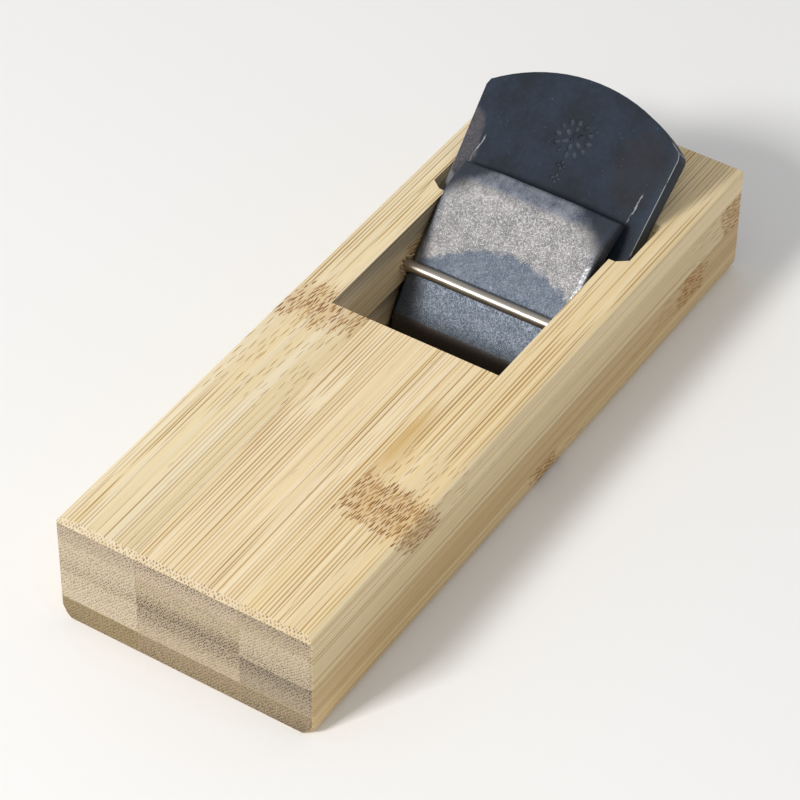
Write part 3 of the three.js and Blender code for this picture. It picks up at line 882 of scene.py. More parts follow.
def new_geometry_tree(name, inputs):
    tree = bpy.data.node_groups.new(name, "GeometryNodeTree")
    for label, kind in inputs:
        tree.interface.new_socket(label, in_out="INPUT", socket_type=kind)
    tree.interface.new_socket("Geometry", in_out="OUTPUT", socket_type=GEOMETRY)
    entry = tree.nodes.new("NodeGroupInput")
    leave = tree.nodes.new("NodeGroupOutput")
    return Nodes(tree), entry.outputs, leave.inputs["Geometry"]


def finish_geometry(nodes, instances, material, result):
    """Every tree ends the same way: real geometry with its material on it."""
    real = nodes.add("GeometryNodeRealizeInstances")
    nodes.feed(real.inputs["Geometry"], instances)
    painted = nodes.add("GeometryNodeSetMaterial")
    nodes.feed(painted.inputs["Geometry"], real.outputs["Geometry"])
    nodes.feed(painted.inputs["Material"], material)
    nodes.feed(result, painted.outputs["Geometry"])


def run_tree(tree, name, values):
    carrier = new_object(name, bpy.data.meshes.new(name))
    modifier = carrier.modifiers.new("build", "NODES")
    modifier.node_group = tree
    for item in tree.interface.items_tree:
        if item.item_type == "SOCKET" and item.in_out == "INPUT":
            modifier[item.identifier] = values[item.name]
    graph = bpy.context.evaluated_depsgraph_get()
    mesh = bpy.data.meshes.new_from_object(carrier.evaluated_get(graph))
    carrier.modifiers.clear()
    carrier.data = mesh
    return carrier


def place_mesh(piece, matrix):
    piece.data.transform(matrix)
    piece.data.update()
    return piece


print("geometry helper ready")

# %% [markdown]
# ## Measuring along the blade
#
# Wear and colour on the blade and the chip breaker follow the tool itself: so far up
# from the cutting edge, so far from the middle. A Mapping node of the Texture kind undoes
# a placement, so it turns Object coordinates into millimetres in the blade's own frame.

# %% Write the helpers for places on the blade
def blade_place(nodes):
    coordinates = nodes.add("ShaderNodeTexCoord")
    mapping = nodes.add("ShaderNodeMapping", vector_type="TEXTURE")
    nodes.feed(mapping.inputs["Vector"], coordinates.outputs["Object"])
    mapping.inputs["Location"].default_value = edge_point
    mapping.inputs["Rotation"].default_value = (0, -face_angle, 0)
    mapping.inputs["Scale"].default_value = (MM, MM, MM)
    return mapping.outputs["Vector"]


def spot(nodes, along, across, centre, reach, ragged):
    """A soft round or oval patch, with an edge roughened by a noise value."""
    u = nodes.over(nodes.minus(along, centre[0]), reach[0])
    v = nodes.over(nodes.minus(across, centre[1]), reach[1])
    square = nodes.plus(nodes.times(u, u), nodes.times(v, v))
    return nodes.step(nodes.plus(square, ragged), 1.35, 0.55)


def stroke(nodes, along, across, start, end, width, ragged):
    """A thin mark from one place to another, for marks that run up the blade."""
    slope = (end[1] - start[1]) / (end[0] - start[0])
    line = nodes.plus(nodes.times(nodes.minus(along, start[0]), slope), start[1])
    off = nodes.size(nodes.plus(nodes.minus(across, line), ragged))
    inside = nodes.times(nodes.step(along, start[0] - 0.4, start[0] + 0.6),
                        nodes.step(along, end[0] + 0.4, end[0] - 0.6))
    return nodes.times(nodes.step(off, width, width * 0.3), inside)


def surface_of(node, turned=Matrix()):
    """A CAD node's surface, to look up places on it, and its corner points."""
    mesh = frame["nodes"][node].data
    points = [turned @ vertex.co for vertex in mesh.vertices]
    faces = [tuple(face.vertices) for face in mesh.polygons]
    return BVHTree.FromPolygons(points, faces), points


def measured_in_blade_frame(node):
    """A CAD node's surface in the blade's frame, and its lowest and highest corner."""
    surface, points = surface_of(node, blade_frame.inverted())
    low = Vector(min(point[i] for point in points) for i in range(3))
    high = Vector(max(point[i] for point in points) for i in range(3))
    return surface, low, high


blade_high = measured_in_blade_frame("blade_iron_body")[2]
print("blade runs", round(blade_high.x, 1), "mm up from its edge")

# %% [markdown]
# ## Scratches from grinding
#
# A wheel and a stone leave short fine lines in every direction. Noise that is stretched
# in one direction looks like one set of lines; four sets, each turned another way, make
# the sparkling cross-hatch of ground iron.

# %% Build the scratches
SCRATCH_TURNS = (18, 62, 104, 151)


def build_scratches():
    nodes, given, result = new_group(
        "grinding_scratches",
        [("Place", VECTOR, (0, 0, 0)), ("Length", FLOAT, 1.4), ("Width", FLOAT, 0.17)],
        [("Scratches", FLOAT), ("Mottle", FLOAT)],
    )
    scratches = 0.0
    for turn in SCRATCH_TURNS:
        turned = nodes.add("ShaderNodeVectorRotate", rotation_type="Z_AXIS")
        nodes.feed(turned.inputs["Vector"], given["Place"])
        turned.inputs["Angle"].default_value = math.radians(turn)
        size = nodes.join(given["Length"], given["Width"], 1.0)
        lines = nodes.clouds(nodes.vector("DIVIDE", turned.outputs["Vector"], size), (1, 1, 1), 1.5)
        scratches = nodes.math("MAXIMUM", scratches, nodes.step(lines, 0.57, 0.67))
    nodes.feed(result["Scratches"], scratches)
    mottle = nodes.clouds(given["Place"], (0.3, 0.3, 0.3), 4.0, 0.6)
    nodes.feed(result["Mottle"], nodes.step(mottle, 0.3, 0.7))
    return nodes.tree


scratches_group = build_scratches()
print("made", scratches_group.name)

# %% [markdown]
# ## Forge scale
#
# Iron that comes hot from the forge keeps a skin of blue-black oxide. It is dark and
# satin, a little cloudy, slightly pitted, and it shows single bright specks where a grain
# has flaked off.

# %% Build the forge scale
def build_scale():
    nodes, given, result = new_group(
        "forge_scale",
        [("Place", VECTOR, (0, 0, 0)), ("Dark", COLOR, (0.0068, 0.0106, 0.0185, 1)),
         ("Blue", COLOR, (0.0150, 0.0262, 0.0465, 1)),
         ("Speck Colour", COLOR, (0.16, 0.19, 0.24, 1))],
        [("Color", COLOR), ("Roughness", FLOAT), ("Height", FLOAT)],
    )
    place = given["Place"]
    clouds = nodes.clouds(place, (0.11, 0.11, 0.11), 4.0, 0.6)
    mottle = nodes.clouds(place, (0.8, 0.8, 0.8), 3.0, 0.6)
    grain = nodes.clouds(place, (5.0, 5.0, 5.0), 2.0, 0.6)
    cloudy = nodes.plus(nodes.times(clouds, 0.75), nodes.times(mottle, 0.25))
    color = nodes.blend(nodes.step(cloudy, 0.36, 0.64), given["Dark"], given["Blue"])
    color = nodes.blend(nodes.span(nodes.step(grain, 0.35, 0.75), 0.0, 0.25), color, given["Blue"])
    distance, chance, _ = nodes.cells(nodes.vector("MULTIPLY", place, (1.3, 1.3, 1.3)))
    speck = nodes.times(nodes.step(distance, 0.13, 0.05), nodes.step(chance, 0.72, 0.8))
    color = nodes.blend(nodes.times(speck, 0.8), color, given["Speck Colour"])
    nodes.feed(result["Color"], color)
    nodes.feed(result["Roughness"], nodes.span(nodes.step(grain, 0.2, 0.8), 0.5, 0.68))
    height = nodes.plus(nodes.times(mottle, 0.7), nodes.times(grain, 0.3))
    nodes.feed(result["Height"], height)
    return nodes.tree


scale_group = build_scale()
print("made", scale_group.name)

# %% [markdown]
# ## The blade
#
# The blade is soft iron with a thin layer of hard steel welded along its face at the
# cutting edge. Its arrises are rubbed bright by the groove and by hands, so the narrow
# faces that the rounding adds get a finish of their own. It is the same scale with the
# bare metal showing through in places.

# %% Make the blade's finishes
BROWN_SCALE = (0.020, 0.0175, 0.020, 1)
RUBBED_SCALE = (0.105, 0.095, 0.102, 1)
RUBBED_BARE = (0.21, 0.215, 0.235, 1)
EDGE_SCALE = (0.045, 0.055, 0.07, 1)
SCRATCHED_IRON = (0.36, 0.37, 0.40, 1)
ARRIS_IRON = (0.34, 0.36, 0.40, 1)


def make_forged(name, bare):
    """The scale on the blade. With bare at 1 the metal under it shows along the arris."""
    material, nodes, shader = new_finish(name, 0.0, 0.22)
    place = blade_place(nodes)
    along, across, _ = nodes.split(place)
    scale = nodes.group(scale_group, Place=place)
    worn = nodes.group(scratches_group, Place=place, Length=2.0, Width=0.2)
    patchy = nodes.clouds(place, (0.35, 0.35, 0.35), 4.0, 0.65)
    ragged = nodes.span(patchy, -0.9, 0.9)

    # A brown patch on the right, two rubbed places on the left, a paler right edge.
    brown = spot(nodes, along, across, (53, -16), (9, 5.5), ragged)
    color = nodes.blend(nodes.times(brown, 0.5), scale["Color"], BROWN_SCALE)
    left_rub = spot(nodes, along, across, (45.5, 22.0), (7.5, 3.2), ragged)
    left_rub = nodes.times(left_rub, nodes.span(worn["Scratches"], 0.45, 1.0))
    color = nodes.blend(left_rub, color, RUBBED_SCALE)
    low_rub = spot(nodes, along, across, (35.5, 22.2), (3.6, 2.2), ragged)
    color = nodes.blend(nodes.times(low_rub, 0.8), color, RUBBED_BARE)
    near_edge = nodes.step(across, -20.0, -23.0)
    color = nodes.blend(nodes.times(near_edge, 0.35), color, EDGE_SCALE)

    # Two long scratches that the chip breaker's corners leave as it is tapped in.
    wobble = nodes.span(patchy, -0.8, 0.8)
    marks = nodes.math(
        "MAXIMUM",
        stroke(nodes, along, across, (42.3, 19.2), (48.4, 18.5), 0.17, wobble),
        stroke(nodes, along, across, (42.1, -18.6), (49.1, -19.2), 0.17, wobble),
    )
    marks = nodes.times(marks, nodes.step(patchy, 0.30, 0.52))
    color = nodes.blend(nodes.times(marks, 0.8), color, SCRATCHED_IRON)
    if bare:
        # The right arris is worn bright all the way up, the left one only low down.
        shine = nodes.math(
            "MAXIMUM", nodes.step(across, -20.0, -21.0),
            nodes.times(nodes.step(along, 52, 44), nodes.step(across, 20, 21)),
        )
        shine = nodes.times(shine, nodes.step(patchy, 0.30, 0.50))
        stamped = nodes.times(nodes.step(nodes.size(across), 12, 10), 0.2)
        shine = nodes.math("MAXIMUM", shine, nodes.times(stamped, worn["Mottle"]))
        color = nodes.blend(nodes.times(shine, 0.8), color, ARRIS_IRON)
    nodes.feed(shader.inputs["Base Color"], color)
    nodes.feed(shader.inputs["Roughness"], scale["Roughness"])
    add_bump(nodes, shader, scale["Height"], 0.00004)
    return material


forged_scale = make_forged("forged_scale", 0)
worn_arris = make_forged("worn_arris", 1)
print("made", forged_scale.name, "and", worn_arris.name)

# %% Stone the steel
STEEL_DARK = (0.22, 0.225, 0.24, 1)
STEEL_PALE = (0.40, 0.41, 0.43, 1)
STEEL_CLOUD = (0.15, 0.16, 0.18, 1)


def make_edge_steel():
    """Hard steel stoned flat: bright, with long fine scratches and duller clouds."""
    material, nodes, shader = new_finish("stoned_steel", 1.0)
    place = blade_place(nodes)
    stone = nodes.group(scratches_group, Place=place, Length=3.0, Width=0.08)
    color = nodes.blend(stone["Scratches"], STEEL_DARK, STEEL_PALE)
    color = nodes.blend(nodes.span(stone["Mottle"], 0.0, 0.4), color, STEEL_CLOUD)
    nodes.feed(shader.inputs["Base Color"], color)
    nodes.feed(shader.inputs["Roughness"], nodes.span(stone["Mottle"], 0.3, 0.45))
    add_bump(nodes, shader, stone["Scratches"], 0.000004)
    return material


stoned_steel = make_edge_steel()
print("made", stoned_steel.name)

# %% [markdown]
# The stamp in the head of the blade is a plain rosette with two small florets under it. A
# punch presses the metal down in small rounded dents. One petal is a flattened ball, and
# Geometry Nodes set a ring of them, each turned to point away from the middle.

# %% Build the punch
PETAL_SIDES = 20
PETAL_RINGS = 12


def build_petal_ring():
    nodes, given, result = new_geometry_tree(
        "petal_ring",
        [("Petals", INTEGER), ("Ring", FLOAT), ("Petal", VECTOR), ("Material", MATERIAL)],
    )
    circle = nodes.add("GeometryNodeMeshCircle")
    nodes.feed(circle.inputs["Vertices"], given["Petals"])
    nodes.feed(circle.inputs["Radius"], given["Ring"])
    ball = nodes.add("GeometryNodeMeshUVSphere")
    ball.inputs["Segments"].default_value = PETAL_SIDES
    ball.inputs["Rings"].default_value = PETAL_RINGS
    shaped = nodes.add("GeometryNodeTransform")
    nodes.feed(shaped.inputs["Geometry"], ball.outputs["Mesh"])
    nodes.feed(shaped.inputs["Scale"], given["Petal"])
    spread = nodes.add("GeometryNodeInstanceOnPoints")
    nodes.feed(spread.inputs["Points"], circle.outputs["Mesh"])
    nodes.feed(spread.inputs["Instance"], shaped.outputs["Geometry"])
    place = nodes.add("GeometryNodeInputPosition")
    outwards = nodes.add("FunctionNodeAlignRotationToVector", axis="X", pivot_axis="Z")
    nodes.feed(outwards.inputs["Vector"], place.outputs["Position"])
    nodes.feed(spread.inputs["Rotation"], outwards.outputs["Rotation"])
    finish_geometry(nodes, spread.outputs["Instances"], given["Material"], result)
    return nodes.tree


petal_ring_tree = build_petal_ring()
STAMP_DEPTH = 0.3
ROSETTE_ALONG = 54.5
FLORET_ALONG = (48.4, 45.6)


def make_punches():
    """One punch for each ring of dents: the rosette has three rings, a floret has one."""
    rings = [
        (ROSETTE_ALONG, dict(Petals=12, Ring=3.6, Petal=(0.8, 0.62, STAMP_DEPTH))),
        (ROSETTE_ALONG, dict(Petals=6, Ring=1.85, Petal=(0.9, 0.6, STAMP_DEPTH))),
        (ROSETTE_ALONG, dict(Petals=3, Ring=0.42, Petal=(0.34, 0.3, STAMP_DEPTH))),
    ]
    for along in FLORET_ALONG:
        rings.append((along, dict(Petals=4, Ring=0.68, Petal=(0.56, 0.38, STAMP_DEPTH))))
    punches = []
    for number, (along, values) in enumerate(rings):
        punch = run_tree(petal_ring_tree, f"punch_{number}", dict(values, Material=worn_arris))
        punches.append(place_mesh(punch, blade_frame @ Matrix.Translation((along, 0, 0))))
    return punches


punches = make_punches()
print("punch faces:", [len(punch.data.polygons) for punch in punches])

# %% [markdown]
# The blade's own mesh starts from the CAD shape. Its arrises are rounded with two narrow
# faces each, which take the worn finish, but not the edges along the steel layer, where
# the weld is ground flush. The punches are then taken out of the face.

# %% Make the blade
ARRIS_WIDTH = 0.00016
WELD_REACH = 0.00006


def hidden_weld(node):
    """A test for places that lie on another CAD node's surface."""
    surface, _ = surface_of(node)
    return lambda place: surface.find_nearest(place, WELD_REACH)[0] is not None


def round_arrises(piece, width, segments, on_weld, material):
    """Round a piece's sharp edges, apart from those on a weld."""
    with editing(piece.data) as work:
        chosen = []
        for edge in sharp_edges(work):
            if not on_weld((edge.verts[0].co + edge.verts[1].co) / 2):
                chosen.append(edge)
        rounded = len(chosen)
        bevel_edges(work, chosen, width, segments, material)
    return rounded


def cut_with(piece, cutters):
    for number, cutter in enumerate(cutters):
        cut = piece.modifiers.new(f"cut_{number}", "BOOLEAN")
        cut.operation = "DIFFERENCE"
        cut.solver = "EXACT"
        cut.material_mode = "TRANSFER"
        cut.object = cutter
    bake_modifiers(piece)
    for cutter in cutters:
        bpy.data.objects.remove(cutter)


blade = clean_copy("blade_iron_body", "blade_iron")
blade.data.materials.append(forged_scale)
blade.data.materials.append(worn_arris)
rounded = round_arrises(blade, ARRIS_WIDTH, 2, hidden_weld("blade_edge_steel"), 1)
cut_with(blade, punches)
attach(blade, "blade")
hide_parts("blade_iron_body")
print("blade:", rounded, "arrises rounded,", len(blade.data.polygons), "faces")

# %% [markdown]
# ## The chip breaker
#
# The breaker is a flat iron whose two upper corners are bent down with a hammer, so that
# it stands on its nose and on those two ears. The CAD shape has it in a few large facets.
# Draping a fine grid over that shape and then letting each point settle between its
# neighbours gives the soft folds and the ground-over nose of the real one, at the same
# size and in the same place.

# %% Drape a grid over the chip breaker
GRID_STEP = 0.75
SETTLE_ROUNDS = 5
NOSE_AT = 6.6
NOSE_BLEND = 3.0
EDGE_INSET = 0.004
WELD = 0.02
CLEAR_OF_IT = 30

breaker_surface, breaker_low, breaker_high = measured_in_blade_frame("chip_breaker_iron_body")
layer_high = measured_in_blade_frame("chip_breaker_edge_steel")[2]


def evenly(start, end, step):
    count = max(2, round((end - start) / step) + 1)
    return [start + (end - start) * number / (count - 1) for number in range(count)]


def drape(alongs, acrosses, from_height, direction):
    """Heights of the CAD surface over a grid, looking up or down at it."""
    heights = np.zeros((len(alongs), len(acrosses)))
    for row, along in enumerate(alongs):
        along = min(max(along, breaker_low.x + EDGE_INSET), breaker_high.x - EDGE_INSET)
        for column, across in enumerate(acrosses):
            across = min(max(across, breaker_low.y + EDGE_INSET), breaker_high.y - EDGE_INSET)
            start = Vector((along, across, from_height))
            hit = breaker_surface.ray_cast(start, Vector((0, 0, direction)))[0]
            heights[row, column] = hit.z
    return heights


def settle(heights, rounds):
    """Move each height to the mean of itself and its neighbours, a few times over."""
    for _ in range(rounds):
        padded = np.pad(heights, 1, mode="edge")
        sides = padded[:-2, 1:-1] + padded[2:, 1:-1] + padded[1:-1, :-2] + padded[1:-1, 2:]
        heights = heights * 0.5 + sides * 0.125
    return heights



# The underside has a step where the steel layer ends, so no grid line falls across it.
breaker_alongs = (
    evenly(breaker_low.x, layer_high.x + 0.3 * WELD, GRID_STEP)
    + evenly(layer_high.x + 1.2 * WELD, breaker_high.x, GRID_STEP)
)
breaker_acrosses = evenly(breaker_low.y, breaker_high.y, GRID_STEP)
under_heights = drape(breaker_alongs, breaker_acrosses, -CLEAR_OF_IT, 1)
even_alongs = evenly(breaker_low.x, breaker_high.x, GRID_STEP)
draped = drape(even_alongs, breaker_acrosses, CLEAR_OF_IT, -1)
past_nose = np.clip((np.array(even_alongs) - NOSE_AT) / NOSE_BLEND, 0, 1)[:, None]
draped = draped * (1 - past_nose) + settle(draped, SETTLE_ROUNDS) * past_nose
top_heights = np.array(
    [np.interp(breaker_alongs, even_alongs, column) for column in draped.T]
).T
print("grid of", top_heights.shape, "points, thickness",
      round(float((top_heights - under_heights).min()), 3), "to",
      round(float((top_heights - under_heights).max()), 2), "mm")

# %% [markdown]
# The grid's upper and lower sheets are joined by walls, and the upper arrises are rounded
# with a wider curve than the rest, as a file leaves them.

# %% Build the chip breaker
def shell_from_grid(alongs, acrosses, upper, lower, name):
    """A closed mesh from two sheets of heights over the same grid."""
    mesh = bpy.data.meshes.new(name)
    work = bmesh.new()
    rows, columns = upper.shape
    sheets = []
    for heights in (upper, lower):
        sheet = [
            [work.verts.new((alongs[i], acrosses[j], heights[i, j])) for j in range(columns)]
            for i in range(rows)
        ]
        sheets.append(sheet)
    top, under = sheets
    for i in range(rows - 1):
        for j in range(columns - 1):
            work.faces.new((top[i][j], top[i + 1][j], top[i + 1][j + 1], top[i][j + 1]))
            work.faces.new((under[i][j], under[i][j + 1], under[i + 1][j + 1], under[i + 1][j]))
    ring = [(i, 0) for i in range(rows)] + [(rows - 1, j) for j in range(1, columns)]
    ring += [(i, columns - 1) for i in range(rows - 2, -1, -1)]
    ring += [(0, j) for j in range(columns - 2, 0, -1)]
    for number, (i, j) in enumerate(ring):
        k, m = ring[(number + 1) % len(ring)]
        work.faces.new((top[i][j], under[i][j], under[k][m], top[k][m]))
    bmesh.ops.recalc_face_normals(work, faces=work.faces)
    work.to_mesh(mesh)
    work.free()
    return new_object(name, mesh)


def round_rim(piece, limit, width, segments):
    """Round the edges between the upper sheet and the walls, away from the thin tip."""
    with editing(piece.data) as work:
        rim = []
        for edge in work.edges:
            turned = edge.calc_face_angle() > RIM_ANGLE
            low_end = min(vertex.co.x for vertex in edge.verts)
            upward = any(face.normal.z > FACES_UP for face in edge.link_faces)
            if turned and upward and low_end > limit:
                rim.append(edge)
        bevel_edges(work, rim, width, segments)


RIM_WIDTH = 0.7
RIM_ANGLE = math.radians(50)
FACES_UP = 0.4
TIP = 1.5

breaker = shell_from_grid(
    breaker_alongs, breaker_acrosses, top_heights, under_heights, "chip_breaker_iron"
)
round_rim(breaker, breaker_low.x + TIP, RIM_WIDTH, 3)
place_mesh(breaker, blade_frame)
bake_modifiers(breaker)
print("chip breaker:", len(breaker.data.polygons), "faces")

# %% [markdown]
# Its face is ground. Above the pin the bare iron sparkles, below a shallow arc it still
# has a thin blue-grey bloom with black specks, and the rolled top edge keeps some of the
# dark scale. The bent ears and the side margins get painted shade, as does the nose under
# the throat's front wall, and the right side gets a painted highlight.

# %% Paint the ground iron and its bloom
ARC_TOP = 26.4
ARC_MIDDLE = -2.5
ARC_CURVE = 0.022
IRON_DARK = (0.157, 0.155, 0.161, 1)
IRON_PALE = (0.250, 0.244, 0.247, 1)
IRON_SPARKLE = (0.60, 0.585, 0.58, 1)
BLOOM_DARK = (0.078, 0.101, 0.136, 1)
BLOOM_PALE = (0.112, 0.133, 0.168, 1)
BLOOM_SPARKLE = (0.40, 0.44, 0.5, 1)
PIT_COLOUR = (0.014, 0.016, 0.022, 1)


def paint_ground(nodes, ground, place, along, across, wobble):
    """Bare iron, then the bloom below the arc with its black pits: colour and pits."""
    color = nodes.blend(ground["Mottle"], IRON_DARK, IRON_PALE)
    color = nodes.blend(nodes.span(ground["Scratches"], 0.0, 0.34), color, IRON_SPARKLE)
    offset = nodes.minus(across, ARC_MIDDLE)
    arc = nodes.times(nodes.times(offset, offset), ARC_CURVE)
    below = nodes.minus(nodes.minus(ARC_TOP, arc), along)
    bloom = nodes.step(nodes.plus(below, wobble), -0.9, 0.9)
    blue = nodes.blend(ground["Mottle"], BLOOM_DARK, BLOOM_PALE)
    blue = nodes.blend(nodes.span(ground["Scratches"], 0.0, 0.09), blue, BLOOM_SPARKLE)
    distance, chance, _ = nodes.cells(nodes.vector("MULTIPLY", place, (2.1, 2.1, 2.1)))
    pits = nodes.times(nodes.step(distance, 0.30, 0.14), nodes.step(chance, 0.4, 0.55))
    pits = nodes.times(pits, nodes.step(along, 20, 14))
    blue = nodes.blend(nodes.times(pits, 0.8), blue, PIT_COLOUR)
    return nodes.blend(nodes.times(bloom, 0.92), color, blue), pits


print("ground iron ready")

# %% Paint the dark skin, the painted shade and the painted highlight
SKIN_DARK = (0.09, 0.11, 0.16, 1)
SKIN_PALE = (0.24, 0.26, 0.31, 1)
SKIN_SPARKLE = (0.5, 0.52, 0.56, 1)
# The next four colours are painted light: painted shade on the bent corners, the side margins and
# the nose, and a painted highlight on the right side.
BENT_CORNER_SHADE = (0.038, 0.048, 0.068, 1)
SIDE_PAINTED_SHADE = (0.075, 0.09, 0.12, 1)
PAINTED_HIGHLIGHT_LINE = (0.80, 0.80, 0.82, 1)
NOSE_PAINTED_SHADE = (0.085, 0.070, 0.062, 1)


def paint_skin_and_painted_light(nodes, color, ground, along, across, wobble):
    """Rolled top edge: darker, bluer skin. Bent corners, sides, nose: painted shade. Right side:
    painted highlight.
    """
    rolled = nodes.step(nodes.plus(along, nodes.times(wobble, 0.4)), 37.2, 38.6)
    skin = nodes.blend(ground["Mottle"], SKIN_DARK, SKIN_PALE)
    skin = nodes.blend(nodes.span(ground["Scratches"], 0.0, 0.3), skin, SKIN_SPARKLE)
    color = nodes.blend(nodes.times(rolled, 0.9), color, skin)
    # Painted shade: the bent corners slope away from the lamp, so they are painted darker.
    from_top = nodes.over(nodes.minus(breaker_high.x, along), 7.5)
    half = (breaker_high.y - breaker_low.y) / 2
    from_side = nodes.over(nodes.minus(half, nodes.size(across)), 9.5)
    fold = nodes.plus(from_top, from_side)
    fold = nodes.plus(fold, nodes.times(wobble, 0.08))
    bent = nodes.times(nodes.step(fold, 1.15, 0.7), 0.85)
    color = nodes.blend(bent, color, BENT_CORNER_SHADE)
    # Painted shade: the side margins lie in the shadow of the throat's walls and mirror the dark
    # wood.
    side = nodes.plus(nodes.size(across), nodes.times(wobble, 0.5))
    side = nodes.times(nodes.step(side, 16.2, 18.4), 0.55)
    color = nodes.blend(side, color, SIDE_PAINTED_SHADE)

    # A painted highlight along the right side, where the bent edge catches the lamp, and painted
    # shade on the nose at the tip.
    ragged = nodes.times(wobble, 0.2)
    highlight_line = stroke(nodes, along, across, (22.5, -17.4), (30.5, -17.9), 0.7, ragged)
    highlight_line = nodes.times(highlight_line, nodes.span(ground["Scratches"], 0.25, 1.0))
    color = nodes.blend(nodes.times(highlight_line, 0.85), color, PAINTED_HIGHLIGHT_LINE)
    # Painted shade: the nose lies in the shadow of the throat's front wall and mirrors its dark
    # wood.
    nose = nodes.step(along, NOSE_AT + 0.2, NOSE_AT - 0.3)
    color = nodes.blend(nodes.times(nose, 0.9), color, NOSE_PAINTED_SHADE)
    return color


print("dark skin ready")

# %% Finish the chip breaker
def make_ground_iron():
    material, nodes, shader = new_finish("ground_iron", 0.8, 0.4)
    place = blade_place(nodes)
    along, across, _ = nodes.split(place)
    ground = nodes.group(scratches_group, Place=place, Length=0.85, Width=0.13)
    coarse = nodes.clouds(place, (0.45, 0.45, 0.45), 4.0, 0.6)
    wobble = nodes.span(coarse, -2.2, 2.2)
    color, pits = paint_ground(nodes, ground, place, along, across, wobble)
    color = paint_skin_and_painted_light(nodes, color, ground, along, across, wobble)
    nodes.feed(shader.inputs["Base Color"], color)
    nodes.feed(shader.inputs["Roughness"], nodes.span(ground["Scratches"], 0.62, 0.46))
    height = nodes.minus(nodes.times(ground["Scratches"], 0.5), pits)
    add_bump(nodes, shader, height, 0.000015)
    return material


breaker.data.materials.append(make_ground_iron())
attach(breaker, "chip_breaker")
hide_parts("chip_breaker_iron_body")

for node in ("blade_edge_steel", "chip_breaker_edge_steel"):
    for slot in frame["nodes"][node].material_slots:
        slot.material = stoned_steel
print("steel layers finished")

# %% [markdown]
# ## The cross pin
#
# The pin is a plain drawn rod, driven into its hole, with a small round on each end. A
# lathe shape is one outline turned about an axis. Drawing leaves faint lines along the
# rod, and near the cheek the rod carries a brown painted reflection of the bamboo.

# %% Turn the pin
PIN_SIDES = 64
PIN_EASE = 0.25
PIN_STEP = 4.0


def turn_pin():
    low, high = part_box("cross_pin")
    middle = (low + high) / 2
    radius = (high.z - low.z) / 2 / MM
    start, end = low.y / MM, high.y / MM
    corner = PIN_EASE * 0.3
    outline = [(0.0, start), (radius - PIN_EASE, start), (radius - corner, start + corner)]
    outline += [(radius, y) for y in evenly(start + PIN_EASE, end - PIN_EASE, PIN_STEP)]
    outline += [(radius - corner, end - corner), (radius - PIN_EASE, end), (0.0, end)]
    work = bmesh.new()
    points = [work.verts.new((r * MM, y * MM, 0)) for r, y in outline]
    edges = [work.edges.new(pair) for pair in zip(points, points[1:])]
    bmesh.ops.spin(
        work, geom=points + edges, cent=(0, 0, 0), axis=(0, 1, 0), angle=math.tau,
        steps=PIN_SIDES, use_merge=True,
    )
    bmesh.ops.remove_doubles(work, verts=work.verts, dist=SAME_PLACE / 10)
    bmesh.ops.recalc_face_normals(work, faces=work.faces)
    bmesh.ops.translate(work, verts=work.verts, vec=(middle.x, 0, middle.z))
    mesh = bpy.data.meshes.new("cross_pin_rod")
    work.to_mesh(mesh)
    work.free()
    return bake_modifiers(new_object("cross_pin_rod", mesh))


pin = turn_pin()
print("pin:", len(pin.data.polygons), "faces")

# %% Finish the pin
PIN_DARK = (0.40, 0.37, 0.33, 1)
PIN_PALE = (0.54, 0.51, 0.46, 1)
CHEEK_PAINTED_REFLECTION = (0.30, 0.21, 0.14, 1)
TARNISH = (0.34, 0.28, 0.22, 1)


def make_pin_steel():
    material, nodes, shader = new_finish("drawn_steel", 1.0)
    place = nodes.place_in_mm()
    _, y, _ = nodes.split(place)
    drawn = nodes.clouds(place, (4.0, 0.12, 4.0), 3.0, 0.6)
    stain = nodes.clouds(place, (0.7, 0.35, 0.7), 4.0, 0.6)
    color = nodes.blend(nodes.step(drawn, 0.3, 0.7), PIN_DARK, PIN_PALE)
    # Painted reflection: near the cheek the rod is tinted brown, as if it mirrored the bamboo.
    cheek_reflection = nodes.times(nodes.step(y, 9, 19), nodes.span(stain, 0.3, 1.0))
    color = nodes.blend(nodes.times(cheek_reflection, 0.7), color, CHEEK_PAINTED_REFLECTION)
    tarnish = nodes.span(nodes.step(stain, 0.5, 0.75), 0.0, 0.4)
    color = nodes.blend(tarnish, color, TARNISH)
    nodes.feed(shader.inputs["Base Color"], color)
    nodes.feed(shader.inputs["Roughness"], nodes.span(nodes.step(stain, 0.3, 0.7), 0.33, 0.44))
    add_bump(nodes, shader, drawn, 0.000001)
    return material


pin.data.materials.append(make_pin_steel())
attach(pin, "block")
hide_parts("cross_pin")
print("pin finished")

# %% [markdown]
# ## Torn fibres
#
# The drill tears bamboo where it comes out of the cheek, and splinters stay standing
# around the pin. Geometry Nodes put a thin tapered splinter on every point of a circle
# round the hole and turn and shorten each by a seeded random number.

# %% Build the splinters
SPLINTER_SIDES = 5
SPLINTER_TIP = 0.12
SPLINTER_TILT = 0.9


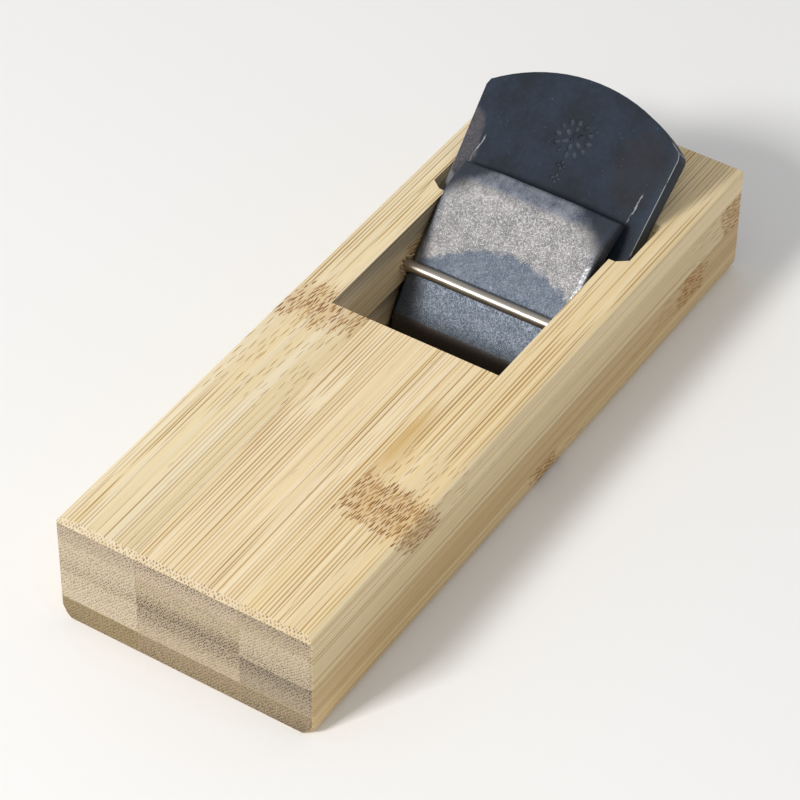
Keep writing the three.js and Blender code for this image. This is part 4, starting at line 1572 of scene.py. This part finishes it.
def build_splinters():
    nodes, given, result = new_geometry_tree(
        "torn_fibres",
        [("Count", INTEGER), ("Ring", FLOAT), ("Thickness", FLOAT), ("Shortest", FLOAT),
         ("Longest", FLOAT), ("Seed", INTEGER), ("Material", MATERIAL)],
    )
    circle = nodes.add("GeometryNodeMeshCircle")
    nodes.feed(circle.inputs["Vertices"], given["Count"])
    nodes.feed(circle.inputs["Radius"], given["Ring"])
    splinter = nodes.add("GeometryNodeMeshCone")
    splinter.inputs["Vertices"].default_value = SPLINTER_SIDES
    splinter.inputs["Side Segments"].default_value = 3
    splinter.inputs["Radius Top"].default_value = SPLINTER_TIP
    splinter.inputs["Radius Bottom"].default_value = 1.0
    splinter.inputs["Depth"].default_value = 1.0

    def chance(low, high, offset, kind="FLOAT"):
        node = nodes.add("FunctionNodeRandomValue", data_type=kind)
        sockets = [s for s in node.inputs if s.enabled and s.name in ("Min", "Max")]
        nodes.feed(sockets[0], low)
        nodes.feed(sockets[1], high)
        nodes.feed(node.inputs["Seed"], nodes.plus(given["Seed"], offset))
        return next(s for s in node.outputs if s.enabled)

    tilt = chance((-SPLINTER_TILT,) * 3, (SPLINTER_TILT,) * 3, 1, "FLOAT_VECTOR")
    length = chance(given["Shortest"], given["Longest"], 2)
    spread = nodes.add("GeometryNodeInstanceOnPoints")
    nodes.feed(spread.inputs["Points"], circle.outputs["Mesh"])
    nodes.feed(spread.inputs["Instance"], splinter.outputs["Mesh"])
    nodes.feed(spread.inputs["Rotation"], tilt)
    size = nodes.join(given["Thickness"], given["Thickness"], length)
    nodes.feed(spread.inputs["Scale"], size)
    finish_geometry(nodes, spread.outputs["Instances"], given["Material"], result)
    return nodes.tree


splinter_tree = build_splinters()
print("made", splinter_tree.name)

# %% Stand them round the pin
splinters = run_tree(
    splinter_tree, "torn_fibres_at_pin",
    dict(Count=30, Ring=1.72, Thickness=0.17, Shortest=0.5, Longest=1.5, Seed=7,
         Material=bamboo["top_right"]),
)


def cheek_wall(start):
    """Where the throat's left wall is, found by looking at it from inside the throat."""
    surface, _ = surface_of("upper_ply_left_strip")
    return surface.ray_cast(start, Vector((0, 1, 0)))[0].y


pin_low, pin_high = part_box("cross_pin")
pin_axis = (pin_low + pin_high) / 2
wall_y = cheek_wall(Vector((pin_axis.x, 0, pin_axis.z + 2 * MM)))
hole_mouth = Matrix.Translation((pin_axis.x, wall_y, pin_axis.z))
out_of_wall = Matrix.Rotation(math.radians(90), 4, "X") @ Matrix.Scale(MM, 4)
place_mesh(splinters, hole_mouth @ out_of_wall)
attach(splinters, "block")
print("torn fibres:", len(splinters.data.polygons), "faces at y =", round(wall_y / MM, 2), "mm")
